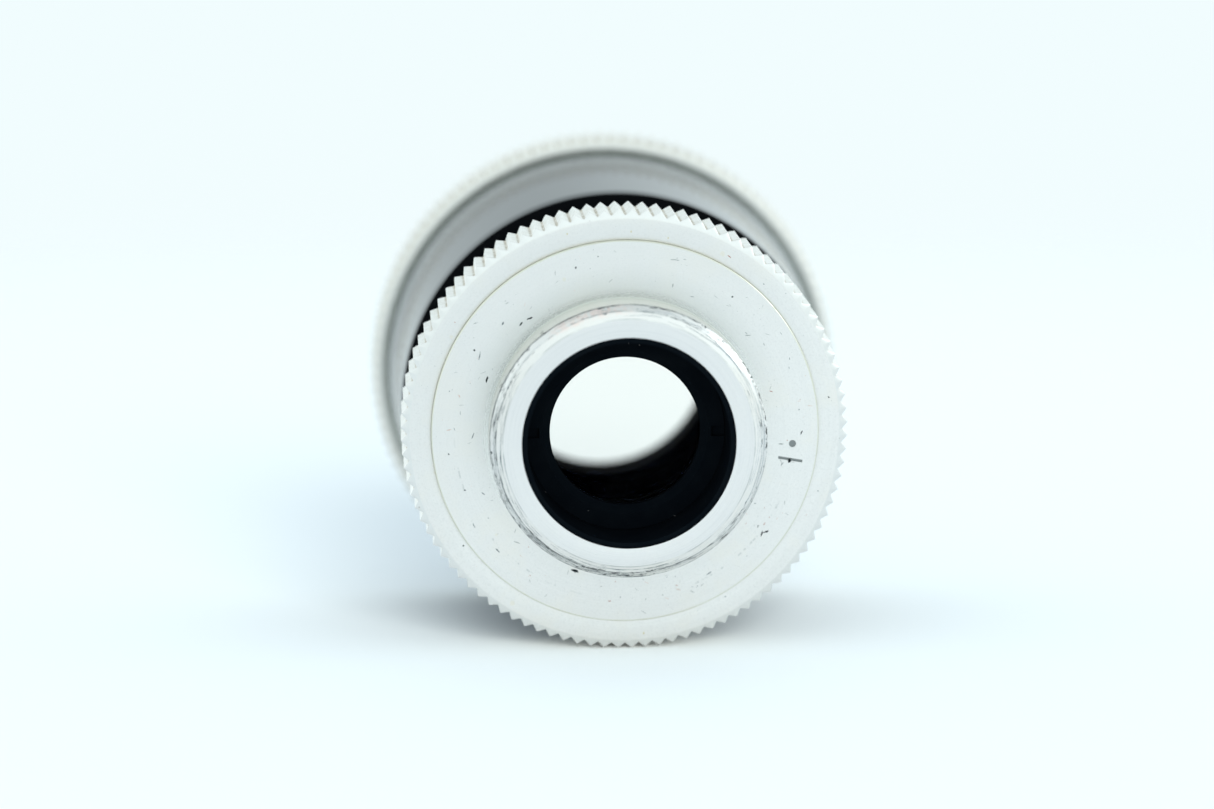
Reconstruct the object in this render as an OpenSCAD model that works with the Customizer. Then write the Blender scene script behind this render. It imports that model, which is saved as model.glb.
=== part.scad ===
// Focusing telescope eyepiece, 0.965 inch push fit.
// The optical axis runs along +Y, from the nose (front) to the eye end (rear), and +Z is up
// when the eyepiece lies on its two knurled rings. The origin is where the axis crosses the
// shoulder face that seats against the drawtube. All sizes are in millimetres.

/* [Nose] */
// Diameter of the push-fit nose
nose_d = 24.5; // [24.3:0.05:24.6]
// How far the nose stands out of the shoulder face
nose_len = 4.9; // [4.2:0.1:6]
// Diameter of the hole through the nose
nose_bore_d = 18.78; // [18.7:0.02:18.9]
// Diameter of the raised shoulder disc
disc_d = 34.6; // [34.2:0.1:34.7]
// How far the disc stands proud of the lock ring
disc_step = 0.45; // [0.3:0.05:0.7]

/* [Lock ring] */
// Diameter over the knurl ridges of the front ring
lock_d = 40; // [39.6:0.1:40.6]
// Length of the front ring along the axis
lock_len = 6.0; // [5.6:0.1:6.2]
// Number of knurl teeth on the front ring
lock_teeth = 100; // [60:1:110]

/* [Focusing sleeve] */
// Diameter of the black sleeve at its front shoulder
sleeve_front_d = 39.8; // [39:0.1:40.4]
// Diameter of the black sleeve where it meets the grip ring
sleeve_rear_d = 42.0; // [41.4:0.1:42.6]
// Gap between the lock ring and the sleeve, the room it has to focus inwards
focus_gap = 6.0; // [5.6:0.05:6.4]

/* [Grip ring] */
// Diameter over the knurl ridges of the rear ring
grip_d = 45.6; // [45:0.1:46.2]
// Length of the rear ring along the axis
grip_len = 6.2; // [5.6:0.1:6.4]
// Number of knurl teeth on the rear ring
grip_teeth = 110; // [60:1:120]

/* [Knurl] */
// Depth of the knurl grooves
knurl_depth = 0.52; // [0.3:0.02:0.6]
// Width of the flat left on each ridge
knurl_flat = 0.09; // [0.05:0.01:0.2]
// Radial width of the chamfer at the ends of each knurl
knurl_chamfer = 0.84; // [0.6:0.02:0.9]

/* [Apertures] */
// Diameter of the stop in front of the field lens
field_stop_d = 13.46; // [12:0.02:13.6]
// Diameter of the opening at the eye
eye_opening_d = 21.26; // [20:0.02:21.4]

/* [Hidden] */
$fn = 96;

// Colours shared by several pieces
black = [0.03, 0.03, 0.035];
ring_metal = [0.88, 0.90, 0.88];
glass = [0.8, 0.9, 0.95, 0.4];

run = 0.05;     // radial clearance of turning and sliding fits
play = 0.05;    // clearance along the axis
bevel = 0.3;    // edge bevel of the inner tubes
cut = 1;        // overshoot of cutting tools

// Nosepiece and lock ring
nose_r = nose_d / 2;
bore_r = nose_bore_d / 2;
disc_r = disc_d / 2;
lock_y = disc_step;         // front face of the lock ring
lock_end = lock_y + lock_len;
shoulder_r = 17.9;          // hidden shoulder that the lock ring pulls on
shoulder_y0 = lock_y + 0.5;
shoulder_y1 = 2.7;
spigot_r = 14.4;
spigot_end = 6.4;

// Neck, and the parts that fit inside it
neck_y = 3.1;
neck_end = 23.4;
neck_r = 17.2;
neck_bore_r = 13.55;
slide_r = neck_bore_r - run;

// Focusing sleeve
sleeve_y = lock_end + focus_gap;    // front shoulder
sleeve_step_y = 31.2;       // the grip ring seats here
sleeve_end = 34.7;
sleeve_bore_r = neck_r + run;
web_y0 = 28.7;
web_y1 = 30.1;
chamber_r = 17.0;
rear_spigot_r = 19.6;
felt_r = 18.4;              // groove for the felt seal
felt_y0 = sleeve_y + 0.5;
felt_y1 = sleeve_y + 2.1;

// Grip ring and its screws
grip_y = sleeve_step_y + 0.02;
grip_end = grip_y + grip_len;
screw_ring_r = 18.45;
screw_angles = [90, 210, 330];

// Guide screw in the neck, and its keyway in the eye cell
key_y = 20.5;
travel_in = 5;              // focusing travel towards the nose
travel_out = 3;             // and towards the eye

// Field lens and its cell; rho is the radius of curvature of a lens surface
stop_y = 0.8;
field_retainer_r = 8.9;
field_lens_r = 8.2;
field_front_rho = 60;
field_front_y = 1.0;
field_joint_rho = 30;
field_joint_y = 4.06;       // rear of the crown on the axis
field_seat_y = 6.6;
joint_gap = 0.02;           // between crown and flint

// Eye lens, its cell and the eye cap
eye_lens_r = 11.8;
eye_seat_y = 25.6;
eye_joint_rho = 26;
eye_joint_y = 27.25;        // hollow of the flint on the axis
eye_rear_rho = 34;
eye_rear_y = 33.41;
flange_end = 32.3;          // rear face of the eye cell flange
cap_y = 33.6;               // front face of the eye cap
eye_r = eye_opening_d / 2;
eye_y = 37.55;
rim_y = 38.9;

// Turns a profile of [radius, y] points about the optical axis.
module turned(profile) {
    rotate([-90, 0, 0]) rotate_extrude() polygon(profile);
}

// A washer of rectangular section.
module washer(inner_r, outer_r, y0, y1) {
    turned([[inner_r, y0], [outer_r, y0], [outer_r, y1], [inner_r, y1]]);
}

// A solid cylinder along the axis from y0 to y1.
module rod(r, y0, y1) {
    translate([0, y0, 0]) rotate([-90, 0, 0]) cylinder(r = r, h = y1 - y0);
}

// A sphere centred on the axis, for a lens surface.
module lens_sphere(rho, y) {
    translate([0, y, 0]) sphere(r = rho, $fn = 200);
}

// Two blocks on opposite sides of the axis, to cut spanner slots.
module block_pair(place, size) {
    for (side = [-1, 1])
        translate([side * place.x, place.y, side * place.z]) cube(size, center = true);
}

// Repeats the children at each grip ring screw.
module at_screws() {
    for (angle = screw_angles)
        rotate([0, angle, 0]) translate([screw_ring_r, 0, 0]) children();
}

function polar(r, angle) = [r * cos(angle), r * sin(angle)];

// Points along an arc in the profile plane, in the given number of steps.
function arc(centre, r, start, end, steps) =
    [for (i = [0 : steps]) centre + polar(r, start + (end - start) * i / steps)];

// Sagitta of a lens surface of radius rho at a distance h from the axis.
function sag(rho, h) = rho - sqrt(rho * rho - h * h);

// Outline of a straight V knurl, each tooth with a narrow flat on its ridge.
function knurl_points(r, teeth) =
    let (pitch = 360 / teeth, half_flat = knurl_flat / r * 90 / PI)
    [for (i = [0 : teeth - 1]) each [
        polar(r, i * pitch - half_flat),
        polar(r, i * pitch + half_flat),
        polar(r - knurl_depth, (i + 0.5) * pitch)]];

// A knurled ring blank with shallow chamfers that run out through the teeth.
module knurled_blank(r, teeth, y0, y1) {
    slope = 0.42;               // axial fall of the chamfer for each unit of radius
    margin = 0.6;               // how far the chamfer tool reaches past the ridges
    over = 0.01;                // and past the end faces
    face_r = r - knurl_chamfer - over / slope;
    out_r = r + margin;
    fall = (knurl_chamfer + margin) * slope;
    intersection() {
        translate([0, y0, 0]) rotate([-90, 0, 0])
            linear_extrude(height = y1 - y0) polygon(knurl_points(r, teeth));
        turned([[0, y0 - over], [face_r, y0 - over], [out_r, y0 + fall],
                [out_r, y1 - fall], [face_r, y1 + over], [0, y1 + over]]);
    }
}

module nosepiece() color([0.86, 0.90, 0.90]) {
    disc_bevel = 0.14;
    index_r = 15.0;
    difference() {
        turned([
            [bore_r, -nose_len], [11.04, -nose_len], [11.69, -nose_len + 0.34],
            [nose_r, -nose_len + 0.86], [nose_r, 0],
            [disc_r - disc_bevel, 0], [disc_r, disc_bevel], [disc_r, shoulder_y0],
            [shoulder_r, shoulder_y0], [shoulder_r, shoulder_y1], [spigot_r, shoulder_y1],
            [spigot_r, spigot_end - bevel], [spigot_r - bevel, spigot_end],
            [bore_r, spigot_end]]);
        // engraved index: a radial line and a dot on the shoulder face
        rotate([0, 10, 0]) translate([index_r, 0, 0]) cube([2.2, 0.2, 0.22], center = true);
        rotate([0, 4.5, 0]) translate([index_r, 0, 0]) rod(0.3, -0.1, 0.1);
    }
}

module field_cell() color(black) {
    outer_r = bore_r - 0.02;
    front_y = 0.1 - nose_len;
    flange_y = spigot_end + play;
    thread_r = field_retainer_r + run;
    lens_bore_r = field_lens_r + run;
    turned([[thread_r, front_y], [outer_r, front_y], [outer_r, flange_y], [10.6, flange_y],
            [10.6, 7.6], [7.6, 7.6], [7.6, field_seat_y], [lens_bore_r, field_seat_y],
            [lens_bore_r, 1.55], [thread_r, 1.55]]);
}

module field_lens_retainer() color(black) difference() {
    turned([[7.4, 0.3], [field_retainer_r, 0.3], [field_retainer_r, 1.5], [8.1, 1.5],
            [field_stop_d / 2, 1.32], [field_stop_d / 2, stop_y]]);
    block_pair([8.4, 0.35, 0], [1.4, 0.5, 0.9]);
}

module field_lens_crown() color(glass) intersection() {
    lens_sphere(field_front_rho, field_front_y + field_front_rho);
    lens_sphere(field_joint_rho, field_joint_y - field_joint_rho);
    rod(field_lens_r, -1, 8);
}

module field_lens_flint() color(glass) difference() {
    rod(field_lens_r, 2.0, field_seat_y - play);
    lens_sphere(field_joint_rho, field_joint_y + joint_gap - field_joint_rho);
}

module friction_washer() color([0.75, 0.6, 0.3]) washer(14.6, 17.7, 2.75, 3.05);

module lock_ring() color(ring_metal) difference() {
    knurled_blank(lock_d / 2, lock_teeth, lock_y, lock_end);
    rod(disc_r + run, lock_y - cut, shoulder_y0 + cut);
    rod(neck_r + run, neck_y - cut, lock_end + cut);
    rod(shoulder_r + run, shoulder_y0 - play, neck_y + play);
}

module neck_tube() color(black) {
    socket_r = spigot_r + run;
    groove_r = 16.8;
    difference() {
        turned([[socket_r, neck_y], [neck_r - 0.2, neck_y], [neck_r, neck_y + 0.2],
                [neck_r, 6.2], [groove_r, 6.3], [groove_r, 7.0], [neck_r, 7.4],
                [neck_r, neck_end - bevel], [neck_r - bevel, neck_end],
                [neck_bore_r, neck_end], [neck_bore_r, 6.9], [socket_r, 6.9]]);
        // tapped hole for the guide screw
        translate([0, key_y, -18]) cylinder(r = 1.22, h = 6);
    }
}

// A slotted screw below the axis, with a thinner pin at its inner end.
module guide_screw() color([0.7, 0.7, 0.68]) {
    outer_z = -16.95;
    body_len = 3.3;
    difference() {
        union() {
            translate([0, key_y, outer_z]) cylinder(r = 1.2, h = body_len);
            translate([0, key_y, outer_z + body_len]) cylinder(r = 0.95, h = 1.1);
        }
        translate([0, key_y, outer_z]) cube([3, 0.4, 1.0], center = true);
    }
}

module light_baffle() color(black)
    turned([[8.9, 8.7], [8.9, 8.55], [9.5, 8.3], [slide_r, 8.3], [slide_r, 9.1], [9.5, 9.1]]);

module eye_cell() color([0.04, 0.04, 0.045]) {
    front_y = 14.5;
    flange_y = 30.5;
    flange_r = chamber_r - run;
    rear_r = 13.6;
    rear_y = 33.6;
    lens_bore_r = eye_lens_r + run;
    key_r = 1.05;               // half the width of the keyway
    key_depth = 1.6;
    key_z = -14;
    key_ends = [key_y - travel_out - play, key_y + travel_in + play];
    difference() {
        turned([[11.4, front_y], [slide_r - bevel, front_y], [slide_r, front_y + bevel],
                [slide_r, flange_y], [flange_r, flange_y], [flange_r, flange_end],
                [rear_r, flange_end], [rear_r, rear_y], [lens_bore_r, rear_y],
                [lens_bore_r, eye_seat_y], [9.9, eye_seat_y], [9.9, 25.0], [11.4, 24.4]]);
        // keyway that the guide screw runs in
        translate([-key_r, key_ends[0], key_z])
            cube([2 * key_r, key_ends[1] - key_ends[0], key_depth]);
        for (y = key_ends) translate([0, y, key_z]) cylinder(r = key_r, h = key_depth);
    }
}

module eye_lens_flint() color(glass) difference() {
    rod(eye_lens_r, eye_seat_y + play, eye_joint_y + sag(eye_joint_rho, eye_lens_r));
    lens_sphere(eye_joint_rho, eye_joint_y + eye_joint_rho);
}

module eye_lens_crown() color(glass) intersection() {
    lens_sphere(eye_joint_rho, eye_joint_y + joint_gap + eye_joint_rho);
    lens_sphere(eye_rear_rho, eye_rear_y - eye_rear_rho);
    rod(eye_lens_r, 26, 35);
}

module eye_lens_retainer() color(black) difference() {
    turned([[10.5, 31.85], [eye_lens_r, 31.4], [eye_lens_r, 33.3], [10.9, 33.3], [10.5, 32.9]]);
    block_pair([0, 33.2, 11.3], [0.9, 0.7, 1.4]);
}

module focus_sleeve() color([0.035, 0.035, 0.04]) {
    edge_r = 0.35;              // rounding of the front edge
    web_r = 13.9;
    difference() {
        turned(concat(
            [[sleeve_bore_r, sleeve_y]],
            arc([sleeve_front_d / 2 - edge_r, sleeve_y + edge_r], edge_r, -90, 0, 6),
            [[sleeve_rear_d / 2, sleeve_step_y], [rear_spigot_r, sleeve_step_y],
             [rear_spigot_r, sleeve_end], [chamber_r, sleeve_end], [chamber_r, web_y1],
             [web_r, web_y1], [web_r, web_y0], [sleeve_bore_r, web_y0],
             [sleeve_bore_r, felt_y1], [felt_r, felt_y1], [felt_r, felt_y0],
             [sleeve_bore_r, felt_y0]]));
        // tapped holes for the grip ring screws
        at_screws() rod(0.82, 31.6, 35.6);
    }
}

module felt_seal() color([0.05, 0.05, 0.05])
    washer(neck_r + 0.02, felt_r - run, felt_y0 + play, felt_y1 - play);

module thrust_washer() color([0.7, 0.5, 0.25]) washer(14.1, 16.85, web_y1 + 0.03, 30.46);

// A flat ring that waves three times round, midway between the eye cell flange and the cap.
module wave_spring() color([0.7, 0.72, 0.75]) {
    steps = 72;
    inner_r = 14.3;
    outer_r = 16.7;
    half_thick = 0.125;
    wave = 0.5;
    mid_y = (flange_end + cap_y) / 2;
    // corners of the section: [radius, y from its middle]
    section = [[inner_r, -half_thick], [outer_r, -half_thick],
               [outer_r, half_thick], [inner_r, half_thick]];
    points = [for (i = [0 : steps - 1])
        let (angle = i * 360 / steps, y = mid_y + wave * cos(3 * angle))
        for (corner = section)
            [corner[0] * cos(angle), y + corner[1], corner[0] * sin(angle)]];
    // two triangles for each side of the section between neighbouring steps
    faces = [for (i = [0 : steps - 1])
        let (here = i * 4, next = (i + 1) % steps * 4)
        for (k = [0 : 3])
            let (m = (k + 1) % 4)
            each [[here + k, here + m, next + m], [here + k, next + m, next + k]]];
    polyhedron(points = points, faces = faces, convexity = 4);
}

module grip_ring() color(ring_metal) {
    hole_r = 0.86;
    sink_r = 1.5;
    difference() {
        knurled_blank(grip_d / 2, grip_teeth, grip_y, grip_end);
        rod(rear_spigot_r + 0.03, grip_y - cut, sleeve_end + play);
        rod(chamber_r + 0.06, grip_y, grip_end + cut);
        // countersunk holes
        at_screws() {
            rod(hole_r, 30, 40);
            translate([0, grip_end - 0.7, 0]) rotate([-90, 0, 0])
                cylinder(r1 = hole_r, r2 = sink_r, h = 0.64);
            rod(sink_r, grip_end - 0.061, grip_end + cut);
        }
    }
}

module grip_ring_screws() color([0.8, 0.8, 0.78]) {
    shank_r = 0.78;
    head_r = 1.4;
    front_y = 32.0;
    top_y = grip_end - 0.02;
    at_screws() difference() {
        turned([[0, front_y], [shank_r, front_y], [shank_r, grip_end - 0.68],
                [head_r, grip_end - 0.06], [head_r, top_y], [0, top_y]]);
        rotate([0, 35, 0]) translate([0, grip_end, 0]) cube([4, 0.7, 0.36], center = true);
    }
}

module eye_cap() color(black) {
    outer_r = chamber_r - 0.03;
    edge_r = 0.6;               // rounding of the rim
    difference() {
        turned(concat(
            [[14.6, cap_y], [outer_r, cap_y], [outer_r, rim_y - edge_r]],
            arc([outer_r - edge_r, rim_y - edge_r], edge_r, 0, 90, 6),
            [[15.7, rim_y], [15.3, rim_y - 0.25], [eye_r + 0.3, eye_y + 0.08],
             [eye_r, eye_y], [eye_r + 0.15, eye_y - 0.3], [13.0, 34.6]]));
        block_pair([16.4, rim_y, 0], [2.4, 1.6, 1.2]);
    }
}

nosepiece();
field_cell();
field_lens_retainer();
field_lens_crown();
field_lens_flint();
friction_washer();
lock_ring();
neck_tube();
guide_screw();
light_baffle();
eye_cell();
eye_lens_flint();
eye_lens_crown();
eye_lens_retainer();
focus_sleeve();
felt_seal();
thrust_washer();
wave_spring();
grip_ring();
grip_ring_screws();
eye_cap();
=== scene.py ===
import math

import bpy
import bmesh
import numpy as np
from mathutils import Matrix, Vector


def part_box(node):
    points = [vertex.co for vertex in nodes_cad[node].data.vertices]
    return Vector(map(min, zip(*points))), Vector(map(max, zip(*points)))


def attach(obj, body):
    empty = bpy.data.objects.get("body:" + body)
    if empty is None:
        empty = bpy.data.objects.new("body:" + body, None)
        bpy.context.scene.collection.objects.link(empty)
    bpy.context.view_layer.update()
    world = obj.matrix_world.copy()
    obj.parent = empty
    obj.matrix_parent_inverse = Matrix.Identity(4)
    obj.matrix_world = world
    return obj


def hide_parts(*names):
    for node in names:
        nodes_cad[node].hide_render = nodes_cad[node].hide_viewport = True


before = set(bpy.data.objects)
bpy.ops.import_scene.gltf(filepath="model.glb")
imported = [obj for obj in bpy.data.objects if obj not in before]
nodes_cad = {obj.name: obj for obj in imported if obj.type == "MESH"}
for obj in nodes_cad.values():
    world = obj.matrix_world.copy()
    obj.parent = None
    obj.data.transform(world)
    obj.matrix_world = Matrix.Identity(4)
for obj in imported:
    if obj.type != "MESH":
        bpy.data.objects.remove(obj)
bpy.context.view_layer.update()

MM = 0.001
TAU = 2 * math.pi
scene = bpy.context.scene
rng = np.random.default_rng(20)

# ------------------------------------------------------------------ sizes read back from the frame (millimetres)


def cad(node):
    lo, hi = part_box(node)
    return [v / MM for v in lo], [v / MM for v in hi]


NOSE_Y0 = cad("nosepiece")[0][1]
NOSE_END = cad("nosepiece")[1][1]
LOCK = cad("lock_ring")
LOCK_R, LOCK_Y0, LOCK_Y1 = LOCK[1][2], LOCK[0][1], LOCK[1][1]
NECK = cad("neck_tube")
NECK_R, NECK_Y0, NECK_Y1 = NECK[1][2], NECK[0][1], NECK[1][1]
SLV = cad("focus_sleeve")
SLV_Y0, SLV_Y1 = SLV[0][1], SLV[1][1]
GRIP = cad("grip_ring")
GRIP_R, GRIP_Y0, GRIP_Y1 = GRIP[1][2], GRIP[0][1], GRIP[1][1]
CAP = cad("eye_cap")
CAP_R, CAP_Y0, CAP_Y1 = CAP[1][2], CAP[0][1], CAP[1][1]

# ------------------------------------------------------------------ mesh helpers


def rounded(points, segs=4):
    """Closed (r, y) outline. A point is (r, y) or (r, y, fillet radius)."""
    out = []
    n = len(points)
    for i, p in enumerate(points):
        if len(p) == 2 or p[2] <= 0:
            out.append((p[0], p[1]))
            continue
        a, b, c = np.array(points[i - 1][:2]), np.array(p[:2]), np.array(points[(i + 1) % n][:2])
        u, v = a - b, c - b
        lu, lv = np.linalg.norm(u), np.linalg.norm(v)
        u, v = u / lu, v / lv
        half = math.acos(max(-1, min(1, float(u @ v)))) / 2
        if half > math.pi / 2 - 0.02:
            out.append((p[0], p[1]))
            continue
        d = min(p[2] / math.tan(half), lu * 0.49, lv * 0.49)
        rad = d * math.tan(half)
        centre = b + (u + v) / np.linalg.norm(u + v) * (rad / math.sin(half))
        s, e = b + u * d - centre, b + v * d - centre
        sweep = math.pi - 2 * half
        k = len(p) > 3 and p[3] or segs
        for j in range(k + 1):
            t = j / k
            w = (math.sin((1 - t) * sweep) * s + math.sin(t * sweep) * e) / math.sin(sweep)
            out.append(tuple(centre + w))
    return out


def make_object(name, verts_mm, faces, body, mat, weighted=True, angle=24):
    me = bpy.data.meshes.new(name)
    me.from_pydata([tuple(v) for v in np.asarray(verts_mm, float) * MM], [], faces)
    me.update()
    ob = bpy.data.objects.new(name, me)
    scene.collection.objects.link(ob)
    finish_mesh(ob, body, mat, weighted, angle)
    return ob


def finish_mesh(ob, body, mat, weighted=True, angle=24):
    me = ob.data
    bm = bmesh.new()
    bm.from_mesh(me)
    bmesh.ops.remove_doubles(bm, verts=bm.verts, dist=2e-7)
    bmesh.ops.recalc_face_normals(bm, faces=bm.faces)
    bm.to_mesh(me)
    bm.free()
    me.shade_smooth()
    me.set_sharp_from_angle(angle=math.radians(angle))
    me.materials.clear()
    me.materials.append(mat)
    if weighted:
        m = ob.modifiers.new("weighted", "WEIGHTED_NORMAL")
        m.mode = "FACE_AREA"
        m.weight = 50
        m.keep_sharp = True
    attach(ob, body)


def lathe_data(outline, n, radial=None):
    """Turns a closed outline about the optical axis. radial(r, y, theta) may move a point in or out."""
    p = np.array(outline, float)
    m = len(p)
    th = np.arange(n) * TAU / n
    r = np.broadcast_to(p[:, 0], (n, m)).copy()
    y = np.broadcast_to(p[:, 1], (n, m)).copy()
    t = np.broadcast_to(th[:, None], (n, m))
    if radial is not None:
        r, y = radial(r, y, t)
    v = np.stack([r * np.cos(t), y, r * np.sin(t)], -1).reshape(-1, 3)
    i = np.arange(n)[:, None]
    j = np.arange(m)[None, :]
    i2, j2 = (i + 1) % n, (j + 1) % m
    f = np.stack(np.broadcast_arrays(i * m + j, i * m + j2, i2 * m + j2, i2 * m + j), -1).reshape(-1, 4)
    return v, f.tolist()


def lathe(name, outline, n, body, mat, radial=None, angle=24):
    v, f = lathe_data(outline, n, radial)
    return make_object(name, v, f, body, mat, angle=angle)


def cut(ob, cutters):
    """Exact boolean difference, applied."""
    for c in cutters:
        m = ob.modifiers.new("cut", "BOOLEAN")
        m.operation = "DIFFERENCE"
        m.solver = "EXACT"
        m.object = c
    order = [m.name for m in ob.modifiers if m.type != "BOOLEAN"]
    stash = []
    for name in order:
        ob.modifiers.remove(ob.modifiers[name])
        stash.append(name)
    bpy.context.view_layer.update()
    dg = bpy.context.evaluated_depsgraph_get()
    me = bpy.data.meshes.new_from_object(ob.evaluated_get(dg))
    ob.modifiers.clear()
    old = ob.data
    ob.data = me
    bpy.data.meshes.remove(old)
    for c in cutters:
        bpy.data.objects.remove(c)


def temp_mesh(verts_mm, faces):
    me = bpy.data.meshes.new("cutter")
    me.from_pydata([tuple(v) for v in np.asarray(verts_mm, float) * MM], [], faces)
    bm = bmesh.new()
    bm.from_mesh(me)
    bmesh.ops.recalc_face_normals(bm, faces=bm.faces)
    bm.to_mesh(me)
    bm.free()
    ob = bpy.data.objects.new("cutter", me)
    scene.collection.objects.link(ob)
    return ob


def turned_cutter(outline, n, cx, cz):
    """A solid of revolution about a line parallel to the optical axis; the outline starts and ends on that line."""
    v, f = [], []
    m = len(outline)
    for i in range(n):
        a = TAU * i / n
        for r, y in outline[1:-1]:
            v.append((cx + r * math.cos(a), y, cz + r * math.sin(a)))
    k = m - 2
    for i in range(n):
        i2 = (i + 1) % n
        for j in range(k - 1):
            f.append((i * k + j, i * k + j + 1, i2 * k + j + 1, i2 * k + j))
    f.append(tuple(i * k for i in range(n)))
    f.append(tuple(i * k + k - 1 for i in reversed(range(n))))
    return temp_mesh(v, f)


def box_cutter(centre, size, turn_y=0.0):
    v = []
    c, s = math.cos(turn_y), math.sin(turn_y)
    for dx in (-0.5, 0.5):
        for dy in (-0.5, 0.5):
            for dz in (-0.5, 0.5):
                x, y, z = dx * size[0], dy * size[1], dz * size[2]
                v.append((centre[0] + c * x + s * z, centre[1] + y, centre[2] - s * x + c * z))
    f = [(0, 1, 3, 2), (4, 6, 7, 5), (0, 4, 5, 1), (2, 3, 7, 6), (0, 2, 6, 4), (1, 5, 7, 3)]
    return temp_mesh(v, f)


# ------------------------------------------------------------------ shader helpers


class Net:
    def __init__(self, name):
        self.mat = bpy.data.materials.new(name)
        self.mat.use_nodes = True
        self.t = self.mat.node_tree
        self.t.nodes.clear()
        self.out = self.t.nodes.new("ShaderNodeOutputMaterial")

    def node(self, kind, **kw):
        n = self.t.nodes.new(kind)
        for k, v in kw.items():
            setattr(n, k, v)
        return n

    def link(self, a, b):
        self.t.links.new(a, b)

    def put(self, socket, value):
        if value is None:
            return
        if hasattr(value, "is_output"):
            self.link(value, socket)
        elif isinstance(value, (tuple, list)):
            v = list(value)
            if len(v) == 3 and len(socket.default_value) == 4:
                v.append(1.0)
            socket.default_value = v
        else:
            socket.default_value = value

    def math(self, op, a, b=None, c=None, clamp=False):
        n = self.node("ShaderNodeMath", operation=op, use_clamp=clamp)
        self.put(n.inputs[0], a)
        if b is not None:
            self.put(n.inputs[1], b)
        if c is not None:
            self.put(n.inputs[2], c)
        return n.outputs[0]

    def smooth(self, v, a, b, lo=0.0, hi=1.0):
        n = self.node("ShaderNodeMapRange", interpolation_type="SMOOTHSTEP")
        self.put(n.inputs["Value"], v)
        n.inputs["From Min"].default_value = a
        n.inputs["From Max"].default_value = b
        n.inputs["To Min"].default_value = lo
        n.inputs["To Max"].default_value = hi
        return n.outputs["Result"]

    def remap(self, v, a, b, lo, hi):
        n = self.node("ShaderNodeMapRange")
        self.put(n.inputs["Value"], v)
        n.inputs["From Min"].default_value = a
        n.inputs["From Max"].default_value = b
        n.inputs["To Min"].default_value = lo
        n.inputs["To Max"].default_value = hi
        return n.outputs["Result"]

    def mix(self, fac, a, b, blend="MIX"):
        n = self.node("ShaderNodeMix", data_type="RGBA", blend_type=blend)
        self.put(n.inputs[0], fac)
        self.put(n.inputs[6], a)
        self.put(n.inputs[7], b)
        return n.outputs[2]

    def combine(self, x, y, z):
        n = self.node("ShaderNodeCombineXYZ")
        for s, v in zip(n.inputs, (x, y, z)):
            self.put(s, v)
        return n.outputs[0]

    def noise(self, vec, scale, detail=3.0, rough=0.55, w=None, dims="3D", distortion=0.0):
        n = self.node("ShaderNodeTexNoise", noise_dimensions="4D" if w is not None else dims)
        if vec is not None:
            self.put(n.inputs["Vector"], vec)
        if w is not None:
            self.put(n.inputs["W"], w)
        n.inputs["Scale"].default_value = scale
        n.inputs["Detail"].default_value = detail
        n.inputs["Roughness"].default_value = rough
        n.inputs["Distortion"].default_value = distortion
        return n.outputs["Fac"]

    def coords(self):
        """Object coordinates in millimetres: vector, x, y, z, radius, cos and sin of the angle."""
        tc = self.node("ShaderNodeTexCoord")
        sc = self.node("ShaderNodeVectorMath", operation="SCALE")
        self.link(tc.outputs["Object"], sc.inputs[0])
        sc.inputs["Scale"].default_value = 1000.0
        v = sc.outputs[0]
        sep = self.node("ShaderNodeSeparateXYZ")
        self.link(v, sep.inputs[0])
        x, y, z = sep.outputs
        r = self.math("SQRT", self.math("ADD", self.math("MULTIPLY", x, x), self.math("MULTIPLY", z, z)))
        rs = self.math("MAXIMUM", r, 0.001)
        return v, x, y, z, r, self.math("DIVIDE", x, rs), self.math("DIVIDE", z, rs)

    def streak(self, r, y, ct, st, fine, along, detail=2.0, seed=0.0):
        """Noise drawn out along the turning direction: fine cells per mm across, along controls the length."""
        vec = self.combine(self.math("MULTIPLY_ADD", r, fine, seed), self.math("MULTIPLY", y, fine), self.math("MULTIPLY", ct, along))
        return self.noise(vec, 1.0, detail=detail, rough=0.6, w=self.math("MULTIPLY_ADD", st, along, seed * 0.37))

    def specks(self, vec, cell, keep, size, seed=0.0):
        """Small random spots: 1 inside a spot. keep is the share of cells that hold one, size is in cells."""
        add = self.node("ShaderNodeVectorMath", operation="MULTIPLY_ADD")
        self.put(add.inputs[0], vec)
        add.inputs[1].default_value = (1 / cell,) * 3
        add.inputs[2].default_value = (seed, seed * 1.7, -seed)
        wob = self.node("ShaderNodeTexNoise")
        self.link(add.outputs[0], wob.inputs["Vector"])
        wob.inputs["Scale"].default_value = 5.0
        wob.inputs["Detail"].default_value = 2.0
        w2 = self.node("ShaderNodeVectorMath", operation="MULTIPLY_ADD")
        self.link(wob.outputs["Color"], w2.inputs[0])
        w2.inputs[1].default_value = (0.16,) * 3
        self.link(add.outputs[0], w2.inputs[2])
        vo = self.node("ShaderNodeTexVoronoi", feature="F1")
        self.link(w2.outputs[0], vo.inputs["Vector"])
        vo.inputs["Scale"].default_value = 1.0
        sep = self.node("ShaderNodeSeparateColor")
        self.link(vo.outputs["Color"], sep.inputs[0])
        chosen = self.math("LESS_THAN", sep.outputs[0], keep)
        rad = self.math("MULTIPLY_ADD", sep.outputs[1], size * 0.8, size * 0.35)
        inside = self.math("SUBTRACT", 1.0, self.math("DIVIDE", vo.outputs["Distance"], rad))
        return self.math("MULTIPLY", chosen, self.smooth(inside, 0.0, 0.35))

    def bump(self, height, distance_mm, strength=1.0, normal=None):
        n = self.node("ShaderNodeBump")
        n.inputs["Strength"].default_value = strength
        n.inputs["Distance"].default_value = distance_mm * MM
        self.put(n.inputs["Height"], height)
        if normal is not None:
            self.link(normal, n.inputs["Normal"])
        return n.outputs[0]

    def bevel(self, radius_mm, samples=4):
        n = self.node("ShaderNodeBevel", samples=samples)
        n.inputs["Radius"].default_value = radius_mm * MM
        return n.outputs[0]

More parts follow.
